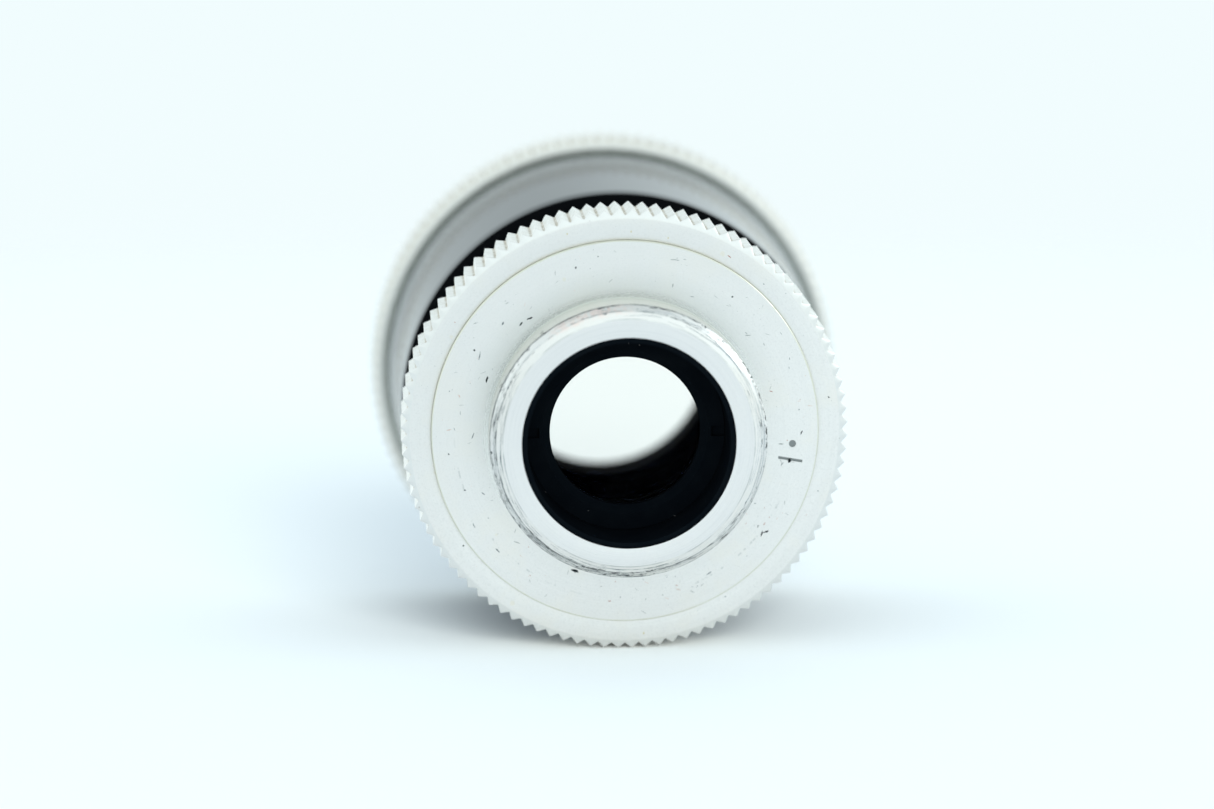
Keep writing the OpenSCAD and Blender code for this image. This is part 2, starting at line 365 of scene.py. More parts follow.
    def principled(self, **kw):
        n = self.node("ShaderNodeBsdfPrincipled")
        for k, v in kw.items():
            self.put(n.inputs[k.replace("_", " ")], v)
        return n

    def surface(self, socket):
        self.link(socket, self.out.inputs["Surface"])
        return self.mat


def sector(N, ct, st, centre_deg, half_deg, soft_deg):
    """1 within an angular sector, measured clockwise from the top as seen from the nose."""
    a = math.radians(centre_deg)
    dot = N.math("ADD", N.math("MULTIPLY", ct, math.sin(a)), N.math("MULTIPLY", st, math.cos(a)))
    return N.smooth(dot, math.cos(math.radians(half_deg + soft_deg)), math.cos(math.radians(max(half_deg - soft_deg, 0))))


# ------------------------------------------------------------------ wear placed

# Pits, scratches and fibres on the two flat front faces: kind, from (x, z), to (x, z), half width; millimetres.
# Kinds: d dark pit or scratch, f faint one, r reddish fibre, y yellowish stain, o orange spot.
def scattered(seed, r0, r1, kinds):
    """Marks scattered over a flat ring-shaped face, for each (kind, count, narrowest, widest, longest)."""
    g = np.random.default_rng(seed)
    out = []
    for kind, count, narrow, wide, longest in kinds:
        for _ in range(count):
            a, r = g.uniform(0, TAU), g.uniform(r0, r1)
            x, z = r * math.sin(a), r * math.cos(a)
            ln, t = longest * g.uniform() ** 3, a + math.pi / 2 + g.normal() * 0.3
            out.append((kind, x, z, x + ln * math.sin(t), z + ln * math.cos(t), g.uniform(narrow, wide)))
    return out


MARKS_DISC = scattered(41, 13.1, 16.3, (("d", 15, 0.05, 0.10, 0.7), ("f", 26, 0.036, 0.072, 0.8), ("r", 12, 0.034, 0.05, 0.7), ("g", 4, 0.03, 0.04, 1.2)))
_g = np.random.default_rng(77)
for _i in range(260):
    _a, _r = _g.uniform(0, TAU), _g.uniform(12.9, 16.9)
    _x, _z, _w = _r * math.sin(_a), _r * math.cos(_a), 0.022 * math.exp(_g.normal() * 0.35)
    _l = 0.0 if _i % 4 else _g.uniform(0.15, 0.5)
    _t = _g.uniform(0, TAU)
    MARKS_DISC.append(("gp"[_i % 5 == 0], _x, _z, _x + _l * math.cos(_t), _z + _l * math.sin(_t), _w))
MARKS_RING = scattered(43, 17.7, 18.7, (("d", 2, 0.08, 0.09, 0.1), ("y", 4, 0.07, 0.09, 0.1), ("f", 3, 0.06, 0.07, 0.2), ("r", 3, 0.04, 0.06, 0.6)))


def mark_solids(name, table, kinds, y_face, body, mat, seed):
    """Thin closed flakes and fibres, let into a flat face and standing 0.01 mm proud of it."""
    g = np.random.default_rng(seed)
    verts, faces = [], []
    for kind, x0, z0, x1, z1, w in table:
        if kind not in kinds:
            continue
        dx, dz = x1 - x0, z1 - z0
        ln = math.hypot(dx, dz)
        ux, uz = (dx / ln, dz / ln) if ln > 0.12 else (1.0, 0.0)
        steps = max(1, int(ln / 0.12)) if ln > 0.12 else 0
        ring = []
        if steps == 0:
            n = 11
            ph = g.uniform(0, TAU)
            for i in range(n):
                t = TAU * i / n
                rr = w * (0.86 + 0.20 * math.sin(2 * t + ph) + 0.12 * g.normal())
                ring.append(((x0 + x1) / 2 + rr * math.cos(t), (z0 + z1) / 2 + rr * math.sin(t)))
        else:
            bow = g.normal(0, 0.02)
            sides = []
            for sgn in (1, -1):
                side = []
                for i in range(steps + 1):
                    t = i / steps
                    taper = min(1.0, 0.45 + 2.2 * min(t, 1 - t))
                    ww = w * taper * (1 + (0.38 if kind in "df" else 0.10) * g.normal())
                    ww = max(ww, w * 0.25)
                    off = bow * math.sin(math.pi * t) * ln
                    side.append((x0 + dx * t - uz * (sgn * ww + off), z0 + dz * t + ux * (sgn * ww + off)))
                sides.append(side)
            cap1 = (x1 + ux * w * 0.7, z1 + uz * w * 0.7)
            cap0 = (x0 - ux * w * 0.7, z0 - uz * w * 0.7)
            ring = sides[0] + [cap1] + sides[1][::-1] + [cap0]
        k, n = len(verts), len(ring)
        verts += [(px, y_face - 0.008, pz) for px, pz in ring] + [(px, y_face + 0.03, pz) for px, pz in ring]
        faces.append(tuple(range(k, k + n)))
        faces.append(tuple(range(k + 2 * n - 1, k + n - 1, -1)))
        faces += [(k + i, k + n + i, k + n + (i + 1) % n, k + (i + 1) % n) for i in range(n)]
    return make_object(name, verts, faces, body, mat, weighted=False)


for _i in range(46):
    _a, _r = _g.uniform(0, TAU), _g.uniform(17.6, 19.0)
    _x, _z, _w = _r * math.sin(_a), _r * math.cos(_a), 0.020 * math.exp(_g.normal() * 0.35)
    MARKS_RING.append(("gp"[_i % 5 == 0], _x, _z, _x, _z, _w))


# ------------------------------------------------------------------ materials

ALLOY = (0.880, 0.853, 0.822)


def flat_xz(N, x, z):
    return N.combine(x, 0.0, z)


def alloy_base(N, fine=14.0, rough=0.34, tone=ALLOY):
    """Turned light alloy: lathe lines and soft mottling. Returns everything that follows needs."""
    v, x, y, z, r, ct, st = N.coords()
    lines = N.streak(r, y, ct, st, fine, 1.2, detail=3.0)
    coarse = N.streak(r, y, ct, st, 2.2, 0.9, detail=2.0, seed=11.0)
    mott = N.noise(v, 0.9, detail=5.0, rough=0.68)
    grime = N.noise(v, 0.17, detail=5.0, rough=0.62)
    fine_mott = N.noise(v, 5.0, detail=3.0, rough=0.65)
    col = N.mix(N.smooth(mott, 0.36, 0.66), [c * 0.955 for c in tone], [min(c * 1.02, 1.0) for c in tone])
    col = N.mix(N.math("MULTIPLY", N.smooth(lines, 0.38, 0.60), 0.40), [c * 0.92 for c in tone], col)
    col = N.mix(N.math("MULTIPLY", N.smooth(fine_mott, 0.50, 0.66), 0.55), col, [c * 0.84 for c in tone])
    col = N.mix(N.math("MULTIPLY", N.smooth(grime, 0.46, 0.66), 0.45), col, (tone[0] * 0.96, tone[1] * 0.935, tone[2] * 0.885))
    # painted shade: the upper left of each turned face is darkened in its colour
    col = N.mix(N.math("MULTIPLY", sector(N, ct, st, 330, 66, 50), 0.46), col, [c * 0.79 for c in tone])
    rgh = N.math("ADD", N.remap(lines, 0.3, 0.7, -0.02, 0.02), N.remap(fine_mott, 0.3, 0.7, rough - 0.05, rough + 0.06))
    height = N.math("ADD", N.math("MULTIPLY", lines, 0.6), N.math("MULTIPLY", coarse, 0.8))
    return v, x, y, z, r, ct, st, col, rgh, height, lines


def mat_nose():
    N = Net("alloy_turned_nose")
    v, x, y, z, r, ct, st, col, rgh, height, lines = alloy_base(N, rough=0.33)
    yn = N.math("SUBTRACT", y, NOSE_Y0)                       # distance behind the nose's front face
    front = N.math("SUBTRACT", 1.0, N.smooth(yn, 0.95, 1.10))
    end_face = N.math("MULTIPLY", front, N.math("SUBTRACT", 1.0, N.smooth(r, 11.00, 11.08)))
    brushed = N.streak(r, y, ct, st, 26.0, 1.6, detail=3.0, seed=31.0)
    col = N.mix(N.math("MULTIPLY", end_face, 0.6), col, (0.78, 0.76, 0.75))
    col = N.mix(N.math("MULTIPLY", N.math("MULTIPLY", end_face, N.smooth(brushed, 0.50, 0.64)), 0.30), col, (0.58, 0.57, 0.565))
    # two lead-in chamfers: the outer one is rubbed, with dark broken streaks heaviest from the bottom round to the left
    cham1 = N.math("MULTIPLY", front, N.math("MULTIPLY", N.smooth(r, 11.04, 11.10), N.math("SUBTRACT", 1.0, N.smooth(r, 11.66, 11.72))))
    cham2 = N.math("MULTIPLY", front, N.smooth(r, 11.66, 11.74))
    heavy = N.math("MAXIMUM", sector(N, ct, st, 228, 52, 26), N.math("MULTIPLY", sector(N, ct, st, 150, 34, 26), 0.75))
    heavy = N.math("MAXIMUM", heavy, N.math("MULTIPLY", sector(N, ct, st, 22, 20, 12), 0.55))
    heavy = N.math("MAXIMUM", heavy, N.math("MULTIPLY", sector(N, ct, st, 100, 24, 20), 0.16))
    heavy = N.math("MAXIMUM", heavy, 0.14)
    long_s = N.streak(r, y, ct, st, 15.0, 5.5, detail=4.0, seed=5.0)
    short_s = N.streak(r, y, ct, st, 12.0, 40.0, detail=4.0, seed=8.0)
    rubbed = N.math("MAXIMUM", N.smooth(long_s, 0.555, 0.61), N.math("MULTIPLY", N.smooth(short_s, 0.58, 0.66), 0.9))
    rubbed = N.math("MULTIPLY", rubbed, heavy)
    rub2 = N.math("MULTIPLY", rubbed, cham2)
    rub1 = N.math("MULTIPLY", N.math("MULTIPLY", N.smooth(long_s, 0.50, 0.66), cham1), N.math("MULTIPLY_ADD", heavy, 0.35, 0.10))
    worn = N.math("MULTIPLY", cham2, N.math("MULTIPLY_ADD", heavy, 0.55, 0.10))
    col = N.mix(N.math("MULTIPLY", cham2, 0.18), col, (0.66, 0.67, 0.68))
    col = N.mix(N.math("MULTIPLY", worn, 0.22), col, (0.50, 0.52, 0.525))
    col = N.mix(N.math("MULTIPLY", rub1, 0.60), col, (0.40, 0.42, 0.425))
    col = N.mix(N.math("MULTIPLY", rub2, 0.50), col, (0.12, 0.13, 0.135))
    # hairlines where the surfaces meet
    brk1 = N.smooth(N.streak(r, y, ct, st, 1.0, 3.4, detail=4.0, seed=2.0), 0.40, 0.58)
    brk2 = N.smooth(N.streak(r, y, ct, st, 1.0, 9.0, detail=5.0, seed=6.0), 0.42, 0.56)
    hair1 = N.math("MULTIPLY", N.smooth(N.math("ABSOLUTE", N.math("SUBTRACT", r, 11.09)), 0.060, 0.020), N.math("MULTIPLY", front, brk1))
    hair2 = N.math("MULTIPLY", N.smooth(N.math("ABSOLUTE", N.math("SUBTRACT", r, 11.72)), 0.065, 0.025), N.math("MULTIPLY", front, brk2))
    hair2 = N.math("MULTIPLY", hair2, N.math("MULTIPLY_ADD", heavy, 0.60, 0.30))
    hair3 = N.math("MULTIPLY", N.smooth(N.math("ABSOLUTE", N.math("SUBTRACT", yn, 0.90)), 0.11, 0.04), N.math("MULTIPLY", N.smooth(r, 12.1, 12.2), brk2))
    col = N.mix(N.math("MULTIPLY", hair1, 0.50), col, (0.22, 0.24, 0.25))
    col = N.mix(N.math("MULTIPLY", hair2, 0.60), col, (0.12, 0.13, 0.135))
    col = N.mix(N.math("MULTIPLY", hair3, 0.62), col, (0.14, 0.145, 0.14))
    # a pinkish stain just left of the top
    pink = N.math("MULTIPLY", N.math("MULTIPLY", sector(N, ct, st, 343, 14, 9), N.math("MULTIPLY", front, N.smooth(r, 11.25, 11.7))), N.smooth(N.noise(v, 2.2, detail=4.0, rough=0.7), 0.40, 0.60))
    col = N.mix(N.math("MULTIPLY", pink, 0.55), col, (0.80, 0.60, 0.54))
    # barrel wall: duller, greener bare metal
    wall = N.math("MULTIPLY", N.smooth(yn, 0.92, 1.10), N.math("SUBTRACT", 1.0, N.smooth(r, 12.28, 12.9)))
    col = N.mix(N.math("MULTIPLY", wall, 0.30), col, (0.74, 0.755, 0.70))
    # painted shade: the shoulder round the nose's foot is a little darker, most of all above the nose
    foot_painted_shade = N.math("MULTIPLY", N.math("SUBTRACT", 1.0, N.smooth(r, 12.6, 15.6)), N.math("GREATER_THAN", y, -1.5))
    col = N.mix(N.math("MULTIPLY", foot_painted_shade, N.math("MULTIPLY_ADD", sector(N, ct, st, 345, 70, 40), 0.26, 0.05)), col, (0.52, 0.545, 0.505))
    # broken ring of contact wear on the shoulder, left by the drawtube's edge
    on_face = N.math("MULTIPLY", N.math("GREATER_THAN", y, -0.3), N.smooth(r, 12.5, 12.9))
    ringw = N.math("MULTIPLY", N.smooth(N.math("ABSOLUTE", N.math("SUBTRACT", r, 15.25)), 0.11, 0.03), on_face)
    where = N.math("MAXIMUM", sector(N, ct, st, 138, 26, 12), sector(N, ct, st, 232, 30, 12))
    brk = N.smooth(N.streak(r, y, ct, st, 1.0, 22.0, detail=4.0, seed=4.0), 0.52, 0.62)
    ringw = N.math("MULTIPLY", N.math("MULTIPLY", ringw, where), brk)
    col = N.mix(N.math("MULTIPLY", ringw, 0.40), col, (0.33, 0.35, 0.33))
    # pits, scratches, fibres and stains
    fl = flat_xz(N, x, z)
    pits = N.math("MULTIPLY", N.specks(fl, 2.3, 0.42, 0.030, 3.0), on_face)
    stain = N.math("MULTIPLY", N.specks(fl, 1.9, 0.22, 0.17, 12.0), on_face)
    tiny = N.specks(v, 0.9, 0.10, 0.06, 21.0)
    col = N.mix(N.math("MULTIPLY", stain, 0.16), col, (0.74, 0.66, 0.38))
    col = N.mix(N.math("MULTIPLY", pits, 0.40), col, (0.28, 0.28, 0.28))
    col = N.mix(N.math("MULTIPLY", N.math("MULTIPLY", tiny, N.math("SUBTRACT", 1.0, front)), 0.25), col, (0.30, 0.30, 0.29))
    nose_pits = N.math("MULTIPLY", N.specks(fl, 1.6, 0.16, 0.045, 15.0), end_face)
    col = N.mix(N.math("MULTIPLY", nose_pits, 0.45), col, (0.40, 0.36, 0.26))
    # engraved index: dull inside, the recess darkened with painted shade
    index_recess_shade = N.math("MULTIPLY", N.smooth(y, 0.03, 0.085), N.math("MULTIPLY", N.math("GREATER_THAN", r, 13.2), N.math("LESS_THAN", r, 16.6)))
    col = N.mix(N.math("MULTIPLY", index_recess_shade, 0.85), col, (0.17, 0.19, 0.185))
    # the shoulder's outer edge: bright, cream with old grease
    rim = N.math("MULTIPLY", N.smooth(r, 17.17, 17.225), N.math("LESS_THAN", y, 0.9))
    col = N.mix(N.math("MULTIPLY", rim, 0.9), col, (0.70, 0.69, 0.58))
    # painted shade where the edge faces down: darker and browner in broken streaks along the bottom
    rim_bottom_shade = N.math("MULTIPLY", N.math("MULTIPLY", rim, sector(N, ct, st, 185, 62, 26)), N.smooth(N.streak(r, y, ct, st, 1.0, 7.0, detail=3.0, seed=9.0), 0.42, 0.60))
    col = N.mix(N.math("MULTIPLY", rim_bottom_shade, 0.35), col, (0.58, 0.53, 0.40))
    # the bore is blackened
    bore = N.math("LESS_THAN", r, 9.44)
    col = N.mix(bore, col, (0.003, 0.0035, 0.004))
    height = N.math("SUBTRACT", height, N.math("MULTIPLY", N.math("MAXIMUM", rub2, pits), 1.4))
    rgh = N.math("ADD", rgh, N.math("MULTIPLY", N.math("MAXIMUM", N.math("MAXIMUM", rub2, bore), stain), 0.16))
    rgh = N.math("SUBTRACT", rgh, N.math("MULTIPLY", wall, 0.16))
    b = N.principled(Base_Color=col, Metallic=N.math("SUBTRACT", 1.0, N.math("MULTIPLY", index_recess_shade, 0.8)), Roughness=rgh, Normal=N.bump(height, 0.006, 0.6))
    return N.surface(b.outputs[0])


def mat_ring(name, r_face, r_tip, depth, y0, marked=False, shoulder=None, bright=0.94, warm=(1.0, 1.0, 1.0)):
    """Knurled ring: turned faces, bright chamfers, cream flanks cut lengthwise, dirt lying thinly in the grooves."""
    N = Net(name)
    bright = np.array(warm) * bright
    v, x, y, z, r, ct, st, col, rgh, height, lines = alloy_base(N, rough=0.35)
    tcn = N.node("ShaderNodeTexCoord")
    nsep = N.node("ShaderNodeSeparateXYZ")
    N.link(tcn.outputs["Normal"], nsep.inputs[0])
    ny = N.math("ABSOLUTE", nsep.outputs[1])
    outer = N.smooth(r, r_face + 0.02, r_face + 0.10)
    flank = N.math("MULTIPLY", outer, N.math("SUBTRACT", 1.0, N.smooth(ny, 0.25, 0.60)))
    cham = N.math("SUBTRACT", outer, flank)
    col = N.mix(cham, col, list(bright * (0.80, 0.785, 0.76)))
    # straight cutting marks along the teeth
    cutm = N.noise(N.combine(N.math("MULTIPLY", x, 9.0), N.math("MULTIPLY", y, 0.8), N.math("MULTIPLY", z, 9.0)), 1.0, detail=3.0)
    tone = N.noise(v, 1.1, detail=4.0, rough=0.65)
    fcol = N.mix(N.smooth(cutm, 0.40, 0.68), list(bright * (1.0, 0.972, 0.925)), list(bright * (0.94, 0.912, 0.86)))
    fcol = N.mix(N.math("MULTIPLY", N.smooth(tone, 0.42, 0.66), 0.45), fcol, list(bright * (0.78, 0.735, 0.64)))
    col = N.mix(flank, col, fcol)
    rr = N.math("SUBTRACT", r, r_tip - depth)
    valley = N.math("MULTIPLY", flank, N.math("SUBTRACT", 1.0, N.smooth(rr, 0.02, 0.15)))
    grime = N.smooth(N.noise(v, 0.9, detail=4.0, rough=0.7), 0.36, 0.62)
    col = N.mix(N.math("MULTIPLY", valley, N.math("MULTIPLY_ADD", grime, 0.50, 0.30)), col, (0.50, 0.42, 0.31))
    rust = N.math("MULTIPLY", N.specks(v, 1.15, 0.09, 0.16, 4.0), N.math("MULTIPLY", flank, N.math("SUBTRACT", 1.0, N.smooth(rr, 0.22, 0.42))))
    col = N.mix(N.math("MULTIPLY", rust, 0.75), col, (0.50, 0.26, 0.08))
    corner = N.math("MULTIPLY", N.specks(v, 0.8, 0.16, 0.13, 14.0), N.math("MULTIPLY", outer, N.math("SUBTRACT", 1.0, N.smooth(rr, 0.10, 0.26))))
    col = N.mix(N.math("MULTIPLY", corner, 0.50), col, (0.24, 0.19, 0.14))
    pits = N.specks(v, 1.3, 0.10, 0.06, 6.0)
    col = N.mix(N.math("MULTIPLY", pits, 0.45), col, (0.20, 0.20, 0.20))
    metal = 1.0
    if shoulder is not None:
        # the flat in front of the knurl: dull olive painted shade, darkest in the corner with the sleeve
        shoulder_shade_mask = N.math("MULTIPLY", N.math("SUBTRACT", 1.0, N.smooth(r, r_face - 0.50, r_face - 0.02)), N.math("LESS_THAN", y, y0 + 0.35))
        shade = N.mix(N.smooth(N.noise(v, 0.7, detail=4.0), 0.38, 0.62), [c * 0.86 for c in shoulder], shoulder)
        # the painted shade is shown to camera rays only; reflections and all other rays see light grey alloy
        shade = N.mix(N.node("ShaderNodeLightPath").outputs["Is Camera Ray"], (0.90, 0.90, 0.88), shade)
        col = N.mix(shoulder_shade_mask, col, shade)
        rgh = N.math("SUBTRACT", rgh, N.math("MULTIPLY", shoulder_shade_mask, 0.14))
        height = N.math("MULTIPLY", height, N.math("SUBTRACT", 1.0, N.math("MULTIPLY", shoulder_shade_mask, 0.9)))
    face_f = N.math("MULTIPLY", N.math("LESS_THAN", y, y0 + 0.2), N.math("SUBTRACT", 1.0, flank))
    if marked:
        stain = N.math("MULTIPLY", N.specks(flat_xz(N, x, z), 1.7, 0.20, 0.15, 17.0), face_f)
        col = N.mix(N.math("MULTIPLY", stain, 0.15), col, (0.76, 0.62, 0.28))
    rgh = N.math("ADD", rgh, N.math("MULTIPLY", N.math("MAXIMUM", rust, valley), 0.15))
    metal = N.math("SUBTRACT", metal, N.math("MAXIMUM", N.math("MULTIPLY", N.math("MAXIMUM", rust, corner), 0.6), N.math("MULTIPLY", flank, 0.34)), clamp=True)
    b = N.principled(Base_Color=col, Metallic=metal, Roughness=rgh, Normal=N.bump(height, 0.006, 0.5))
    return N.surface(b.outputs[0])


def mat_enamel(name="black_enamel", rough=0.055, base=(0.0098, 0.0112, 0.0142), ior=1.50, y_matt=None, r_matt=None):
    """Semi-gloss black paint: orange peel, fine lint, soft handling marks. Ahead of y_matt, or inside r_matt, it is matt black."""
    N = Net(name)
    v, x, y, z, r, ct, st = N.coords()
    peel = N.noise(v, 2.4, detail=3.0, rough=0.55)
    hand = N.noise(v, 0.16, detail=4.0, rough=0.6)
    turnm = N.streak(r, y, ct, st, 6.0, 1.5, detail=2.0, seed=3.0)
    dust = N.specks(v, 0.8, 0.06, 0.055, 5.0)
    lint = N.specks(N.combine(x, N.math("MULTIPLY", y, 0.18), z), 1.6, 0.05, 0.05, 2.0)
    col = N.mix(N.smooth(hand, 0.42, 0.66), base, [c * 1.7 for c in base])
    col = N.mix(N.math("MULTIPLY", N.math("MAXIMUM", dust, lint), 0.30), col, (0.32, 0.33, 0.34))
    rgh = N.math("ADD", N.remap(hand, 0.3, 0.7, rough - 0.02, rough + 0.05), N.remap(turnm, 0.3, 0.7, -0.006, 0.008))
    height = N.math("ADD", N.math("MULTIPLY", peel, 0.5), N.math("MULTIPLY", turnm, 0.04))
    rgh = N.math("ADD", rgh, N.math("MULTIPLY", N.smooth(y, SLV_Y0 + 5.0, SLV_Y0 + 15.0), 0.10))
    level = 0.5
    if y_matt is not None:
        mm = N.math("SUBTRACT", 1.0, N.smooth(y, y_matt - 0.02, y_matt + 0.02))
        col = N.mix(mm, col, (0.0025, 0.003, 0.004))
        rgh = N.math("ADD", rgh, N.math("MULTIPLY", mm, 0.45))
        level = N.remap(mm, 0.0, 1.0, 0.5, 0.06)
    if r_matt is not None:
        mm = N.math("SUBTRACT", 1.0, N.smooth(r, r_matt - 0.03, r_matt + 0.03))
        col = N.mix(mm, col, (0.0012, 0.0015, 0.002))
        level = N.remap(mm, 0.0, 1.0, 0.5, 0.0)
    b = N.principled(Base_Color=col, Roughness=rgh, Normal=N.bump(height, 0.006, 0.40), IOR=ior)
    N.put(b.inputs["Specular IOR Level"], level)
    return N.surface(b.outputs[0])


def mat_matt(name="matt_black", bevel=0.05, turned=True, gain=2.6):
    """Anti-reflection black inside the barrel: fine grain, thread-like turning lines, a few dust grains."""
    N = Net(name)
    v, x, y, z, r, ct, st = N.coords()
    grain = N.noise(v, 9.0, detail=3.0, rough=0.6)
    big = N.noise(v, 0.4, detail=3.0)
    lines = N.streak(r, y, ct, st, 9.0, 0.8, detail=2.0, seed=1.0)
    dust = N.specks(v, 1.9, 0.10, 0.040, 8.0)
    col = N.mix(N.smooth(big, 0.35, 0.7), [c * gain for c in (0.0015, 0.0022, 0.0030)], [c * gain for c in (0.0022, 0.0030, 0.0038)])
    col = N.mix(N.math("MULTIPLY", dust, 0.30), col, (0.30, 0.28, 0.27))
    rgh = N.remap(grain, 0.3, 0.7, 0.68, 0.82)
    nrm = N.bump(N.math("ADD", grain, N.math("MULTIPLY", lines, 0.8 if turned else 0.0)), 0.010, 0.5, N.bevel(bevel) if bevel else None)
    b = N.principled(Base_Color=col, Roughness=rgh, Normal=nrm, IOR=1.4)
    b.inputs["Specular IOR Level"].default_value = 0.0
    return N.surface(b.outputs[0])


def mat_glass(name="coated_glass", base=0.0002, gain=0.03):
    """Coated lens: mostly clear, a faint blue-violet reflection, the ground rim painted black."""
    N = Net(name)
    v, x, y, z, r, ct, st = N.coords()
    fres = N.node("ShaderNodeFresnel")
    fres.inputs["IOR"].default_value = 1.22
    lw = N.node("ShaderNodeLayerWeight")
    lw.inputs["Blend"].default_value = 0.35
    smear = N.noise(v, 0.35, detail=4.0, rough=0.6)
    dust = N.specks(v, 1.2, 0.05, 0.035, 3.0)
    tint = N.mix(lw.outputs["Facing"], (0.30, 0.42, 1.0), (0.75, 0.52, 0.95))
    gl = N.node("ShaderNodeBsdfGlossy")
    N.put(gl.inputs["Color"], tint)
    N.put(gl.inputs["Roughness"], N.remap(smear, 0.4, 0.8, 0.015, 0.05))
    tr = N.node("ShaderNodeBsdfTransparent")
    tr.inputs["Color"].default_value = (1.0, 0.994, 0.985, 1)
    mix = N.node("ShaderNodeMixShader")
    N.put(mix.inputs[0], N.math("MULTIPLY_ADD", fres.outputs[0], gain, base))
    N.link(tr.outputs[0], mix.inputs[1])
    N.link(gl.outputs[0], mix.inputs[2])
    # dust lying on the glass
    df = N.node("ShaderNodeBsdfDiffuse")
    df.inputs["Color"].default_value = (0.5, 0.5, 0.5, 1)
    m2 = N.node("ShaderNodeMixShader")
    N.put(m2.inputs[0], N.math("MULTIPLY", dust, 0.06))
    N.link(mix.outputs[0], m2.inputs[1])
    N.link(df.outputs[0], m2.inputs[2])
    # ground edge
    nsep = N.node("ShaderNodeSeparateXYZ")
    tcn = N.node("ShaderNodeTexCoord")
    N.link(tcn.outputs["Normal"], nsep.inputs[0])
    rim = N.math("LESS_THAN", N.math("ABSOLUTE", nsep.outputs[1]), 0.35)
    blk = N.principled(Base_Color=(0.003, 0.0035, 0.004), Roughness=0.7)
    blk.inputs["Specular IOR Level"].default_value = 0.0
    m3 = N.node("ShaderNodeMixShader")
    N.put(m3.inputs[0], rim)
    N.link(m2.outputs[0], m3.inputs[1])
    N.link(blk.outputs[0], m3.inputs[2])
    return N.surface(m3.outputs[0])


def mat_bronze():
    N = Net("rolled_bronze")
    v, x, y, z, r, ct, st = N.coords()
    roll = N.noise(N.combine(N.math("MULTIPLY", x, 0.3), y, N.math("MULTIPLY", z, 6.0)), 1.0, detail=3.0)
    tarn = N.noise(v, 0.5, detail=4.0, rough=0.65)
    col = N.mix(N.smooth(tarn, 0.4, 0.65), (0.66, 0.46, 0.22), (0.40, 0.25, 0.12))
    b = N.principled(Base_Color=col, Metallic=1.0, Roughness=N.remap(roll, 0.3, 0.7, 0.25, 0.42), Normal=N.bump(roll, 0.01, 0.4, N.bevel(0.04)))
    return N.surface(b.outputs[0])


def mat_steel():
    N = Net("bright_steel")
    v, x, y, z, r, ct, st = N.coords()
    lines = N.noise(N.combine(x, N.math("MULTIPLY", y, 8.0), z), 2.0, detail=3.0)
    spots = N.specks(v, 0.5, 0.12, 0.12, 2.0)
    col = N.mix(N.smooth(lines, 0.35, 0.7), (0.55, 0.56, 0.56), (0.70, 0.71, 0.70))
    col = N.mix(N.math("MULTIPLY", spots, 0.6), col, (0.22, 0.15, 0.10))
    b = N.principled(Base_Color=col, Metallic=1.0, Roughness=N.remap(lines, 0.3, 0.7, 0.20, 0.34), Normal=N.bump(lines, 0.005, 0.5, N.bevel(0.05)))
    return N.surface(b.outputs[0])


def mat_speck(name, a, b):
    """Dirt or lint lying on the metal."""
    N = Net(name)
    v, x, y, z, r, ct, st = N.coords()
    n = N.noise(v, 9.0, detail=3.0, rough=0.7)
    bs = N.principled(Base_Color=N.mix(N.smooth(n, 0.35, 0.65), a, b), Roughness=N.remap(n, 0.3, 0.7, 0.6, 0.85), Normal=N.bump(n, 0.01, 0.5))
    bs.inputs["Specular IOR Level"].default_value = 0.2
    return N.surface(bs.outputs[0])


def mat_felt():
    N = Net("greased_felt")
    v, x, y, z, r, ct, st = N.coords()
    fib = N.noise(v, 14.0, detail=5.0, rough=0.7, distortion=1.5)
    col = N.mix(N.smooth(fib, 0.35, 0.65), (0.012, 0.012, 0.013), (0.05, 0.048, 0.045))
    b = N.principled(Base_Color=col, Roughness=0.95, Normal=N.bump(fib, 0.08, 0.8))
    b.inputs["Sheen Weight"].default_value = 0.4
    return N.surface(b.outputs[0])


M_NOSE = mat_nose()
M_LOCK = mat_ring("alloy_knurled_lock", 19.16, LOCK_R, 0.52, LOCK_Y0, marked=True)
# the grip's shoulder colour is painted shade on the flat in front of its knurl
M_GRIP = mat_ring("alloy_knurled_grip", 21.96, GRIP_R, 0.52, GRIP_Y0, shoulder=(0.27, 0.282, 0.25), bright=0.86, warm=(1.0, 0.985, 0.94))
M_ENAMEL = mat_enamel(y_matt=SLV_Y0 + 0.05)
M_CAP = mat_enamel("black_enamel_cap", 0.34, (0.011, 0.012, 0.013), 1.5, r_matt=10.95)
M_MATT = mat_matt()
M_NECK = mat_matt("matt_black_neck", 0.0, gain=6.0)
M_GLASS = mat_glass()
M_GLASS_EYE = mat_glass("coated_glass_eye", 0.0008, 0.22)
M_BRONZE = mat_bronze()
M_STEEL = mat_steel()
M_FELT = mat_felt()

for name, m in {
    "nosepiece": M_NOSE, "field_cell": M_MATT, "field_lens_retainer": M_MATT, "field_lens_crown": M_GLASS, "field_lens_flint": M_GLASS,
    "friction_washer": M_BRONZE, "lock_ring": M_LOCK, "neck_tube": M_NECK, "guide_screw": M_STEEL, "light_baffle": M_MATT,
    "eye_cell": M_MATT, "eye_lens_flint": M_GLASS, "eye_lens_crown": M_GLASS_EYE, "eye_lens_retainer": M_MATT, "focus_sleeve": M_ENAMEL,
    "felt_seal": M_FELT, "thrust_washer": M_BRONZE, "wave_spring": M_STEEL, "grip_ring": M_GRIP, "grip_ring_screws": M_STEEL, "eye_cap": M_CAP,
}.items():
    ob = nodes_cad[name]
    if len(ob.material_slots) == 0:
        ob.data.materials.append(m)
    for s in ob.material_slots:
        s.material = m

# ------------------------------------------------------------------ nosepiece

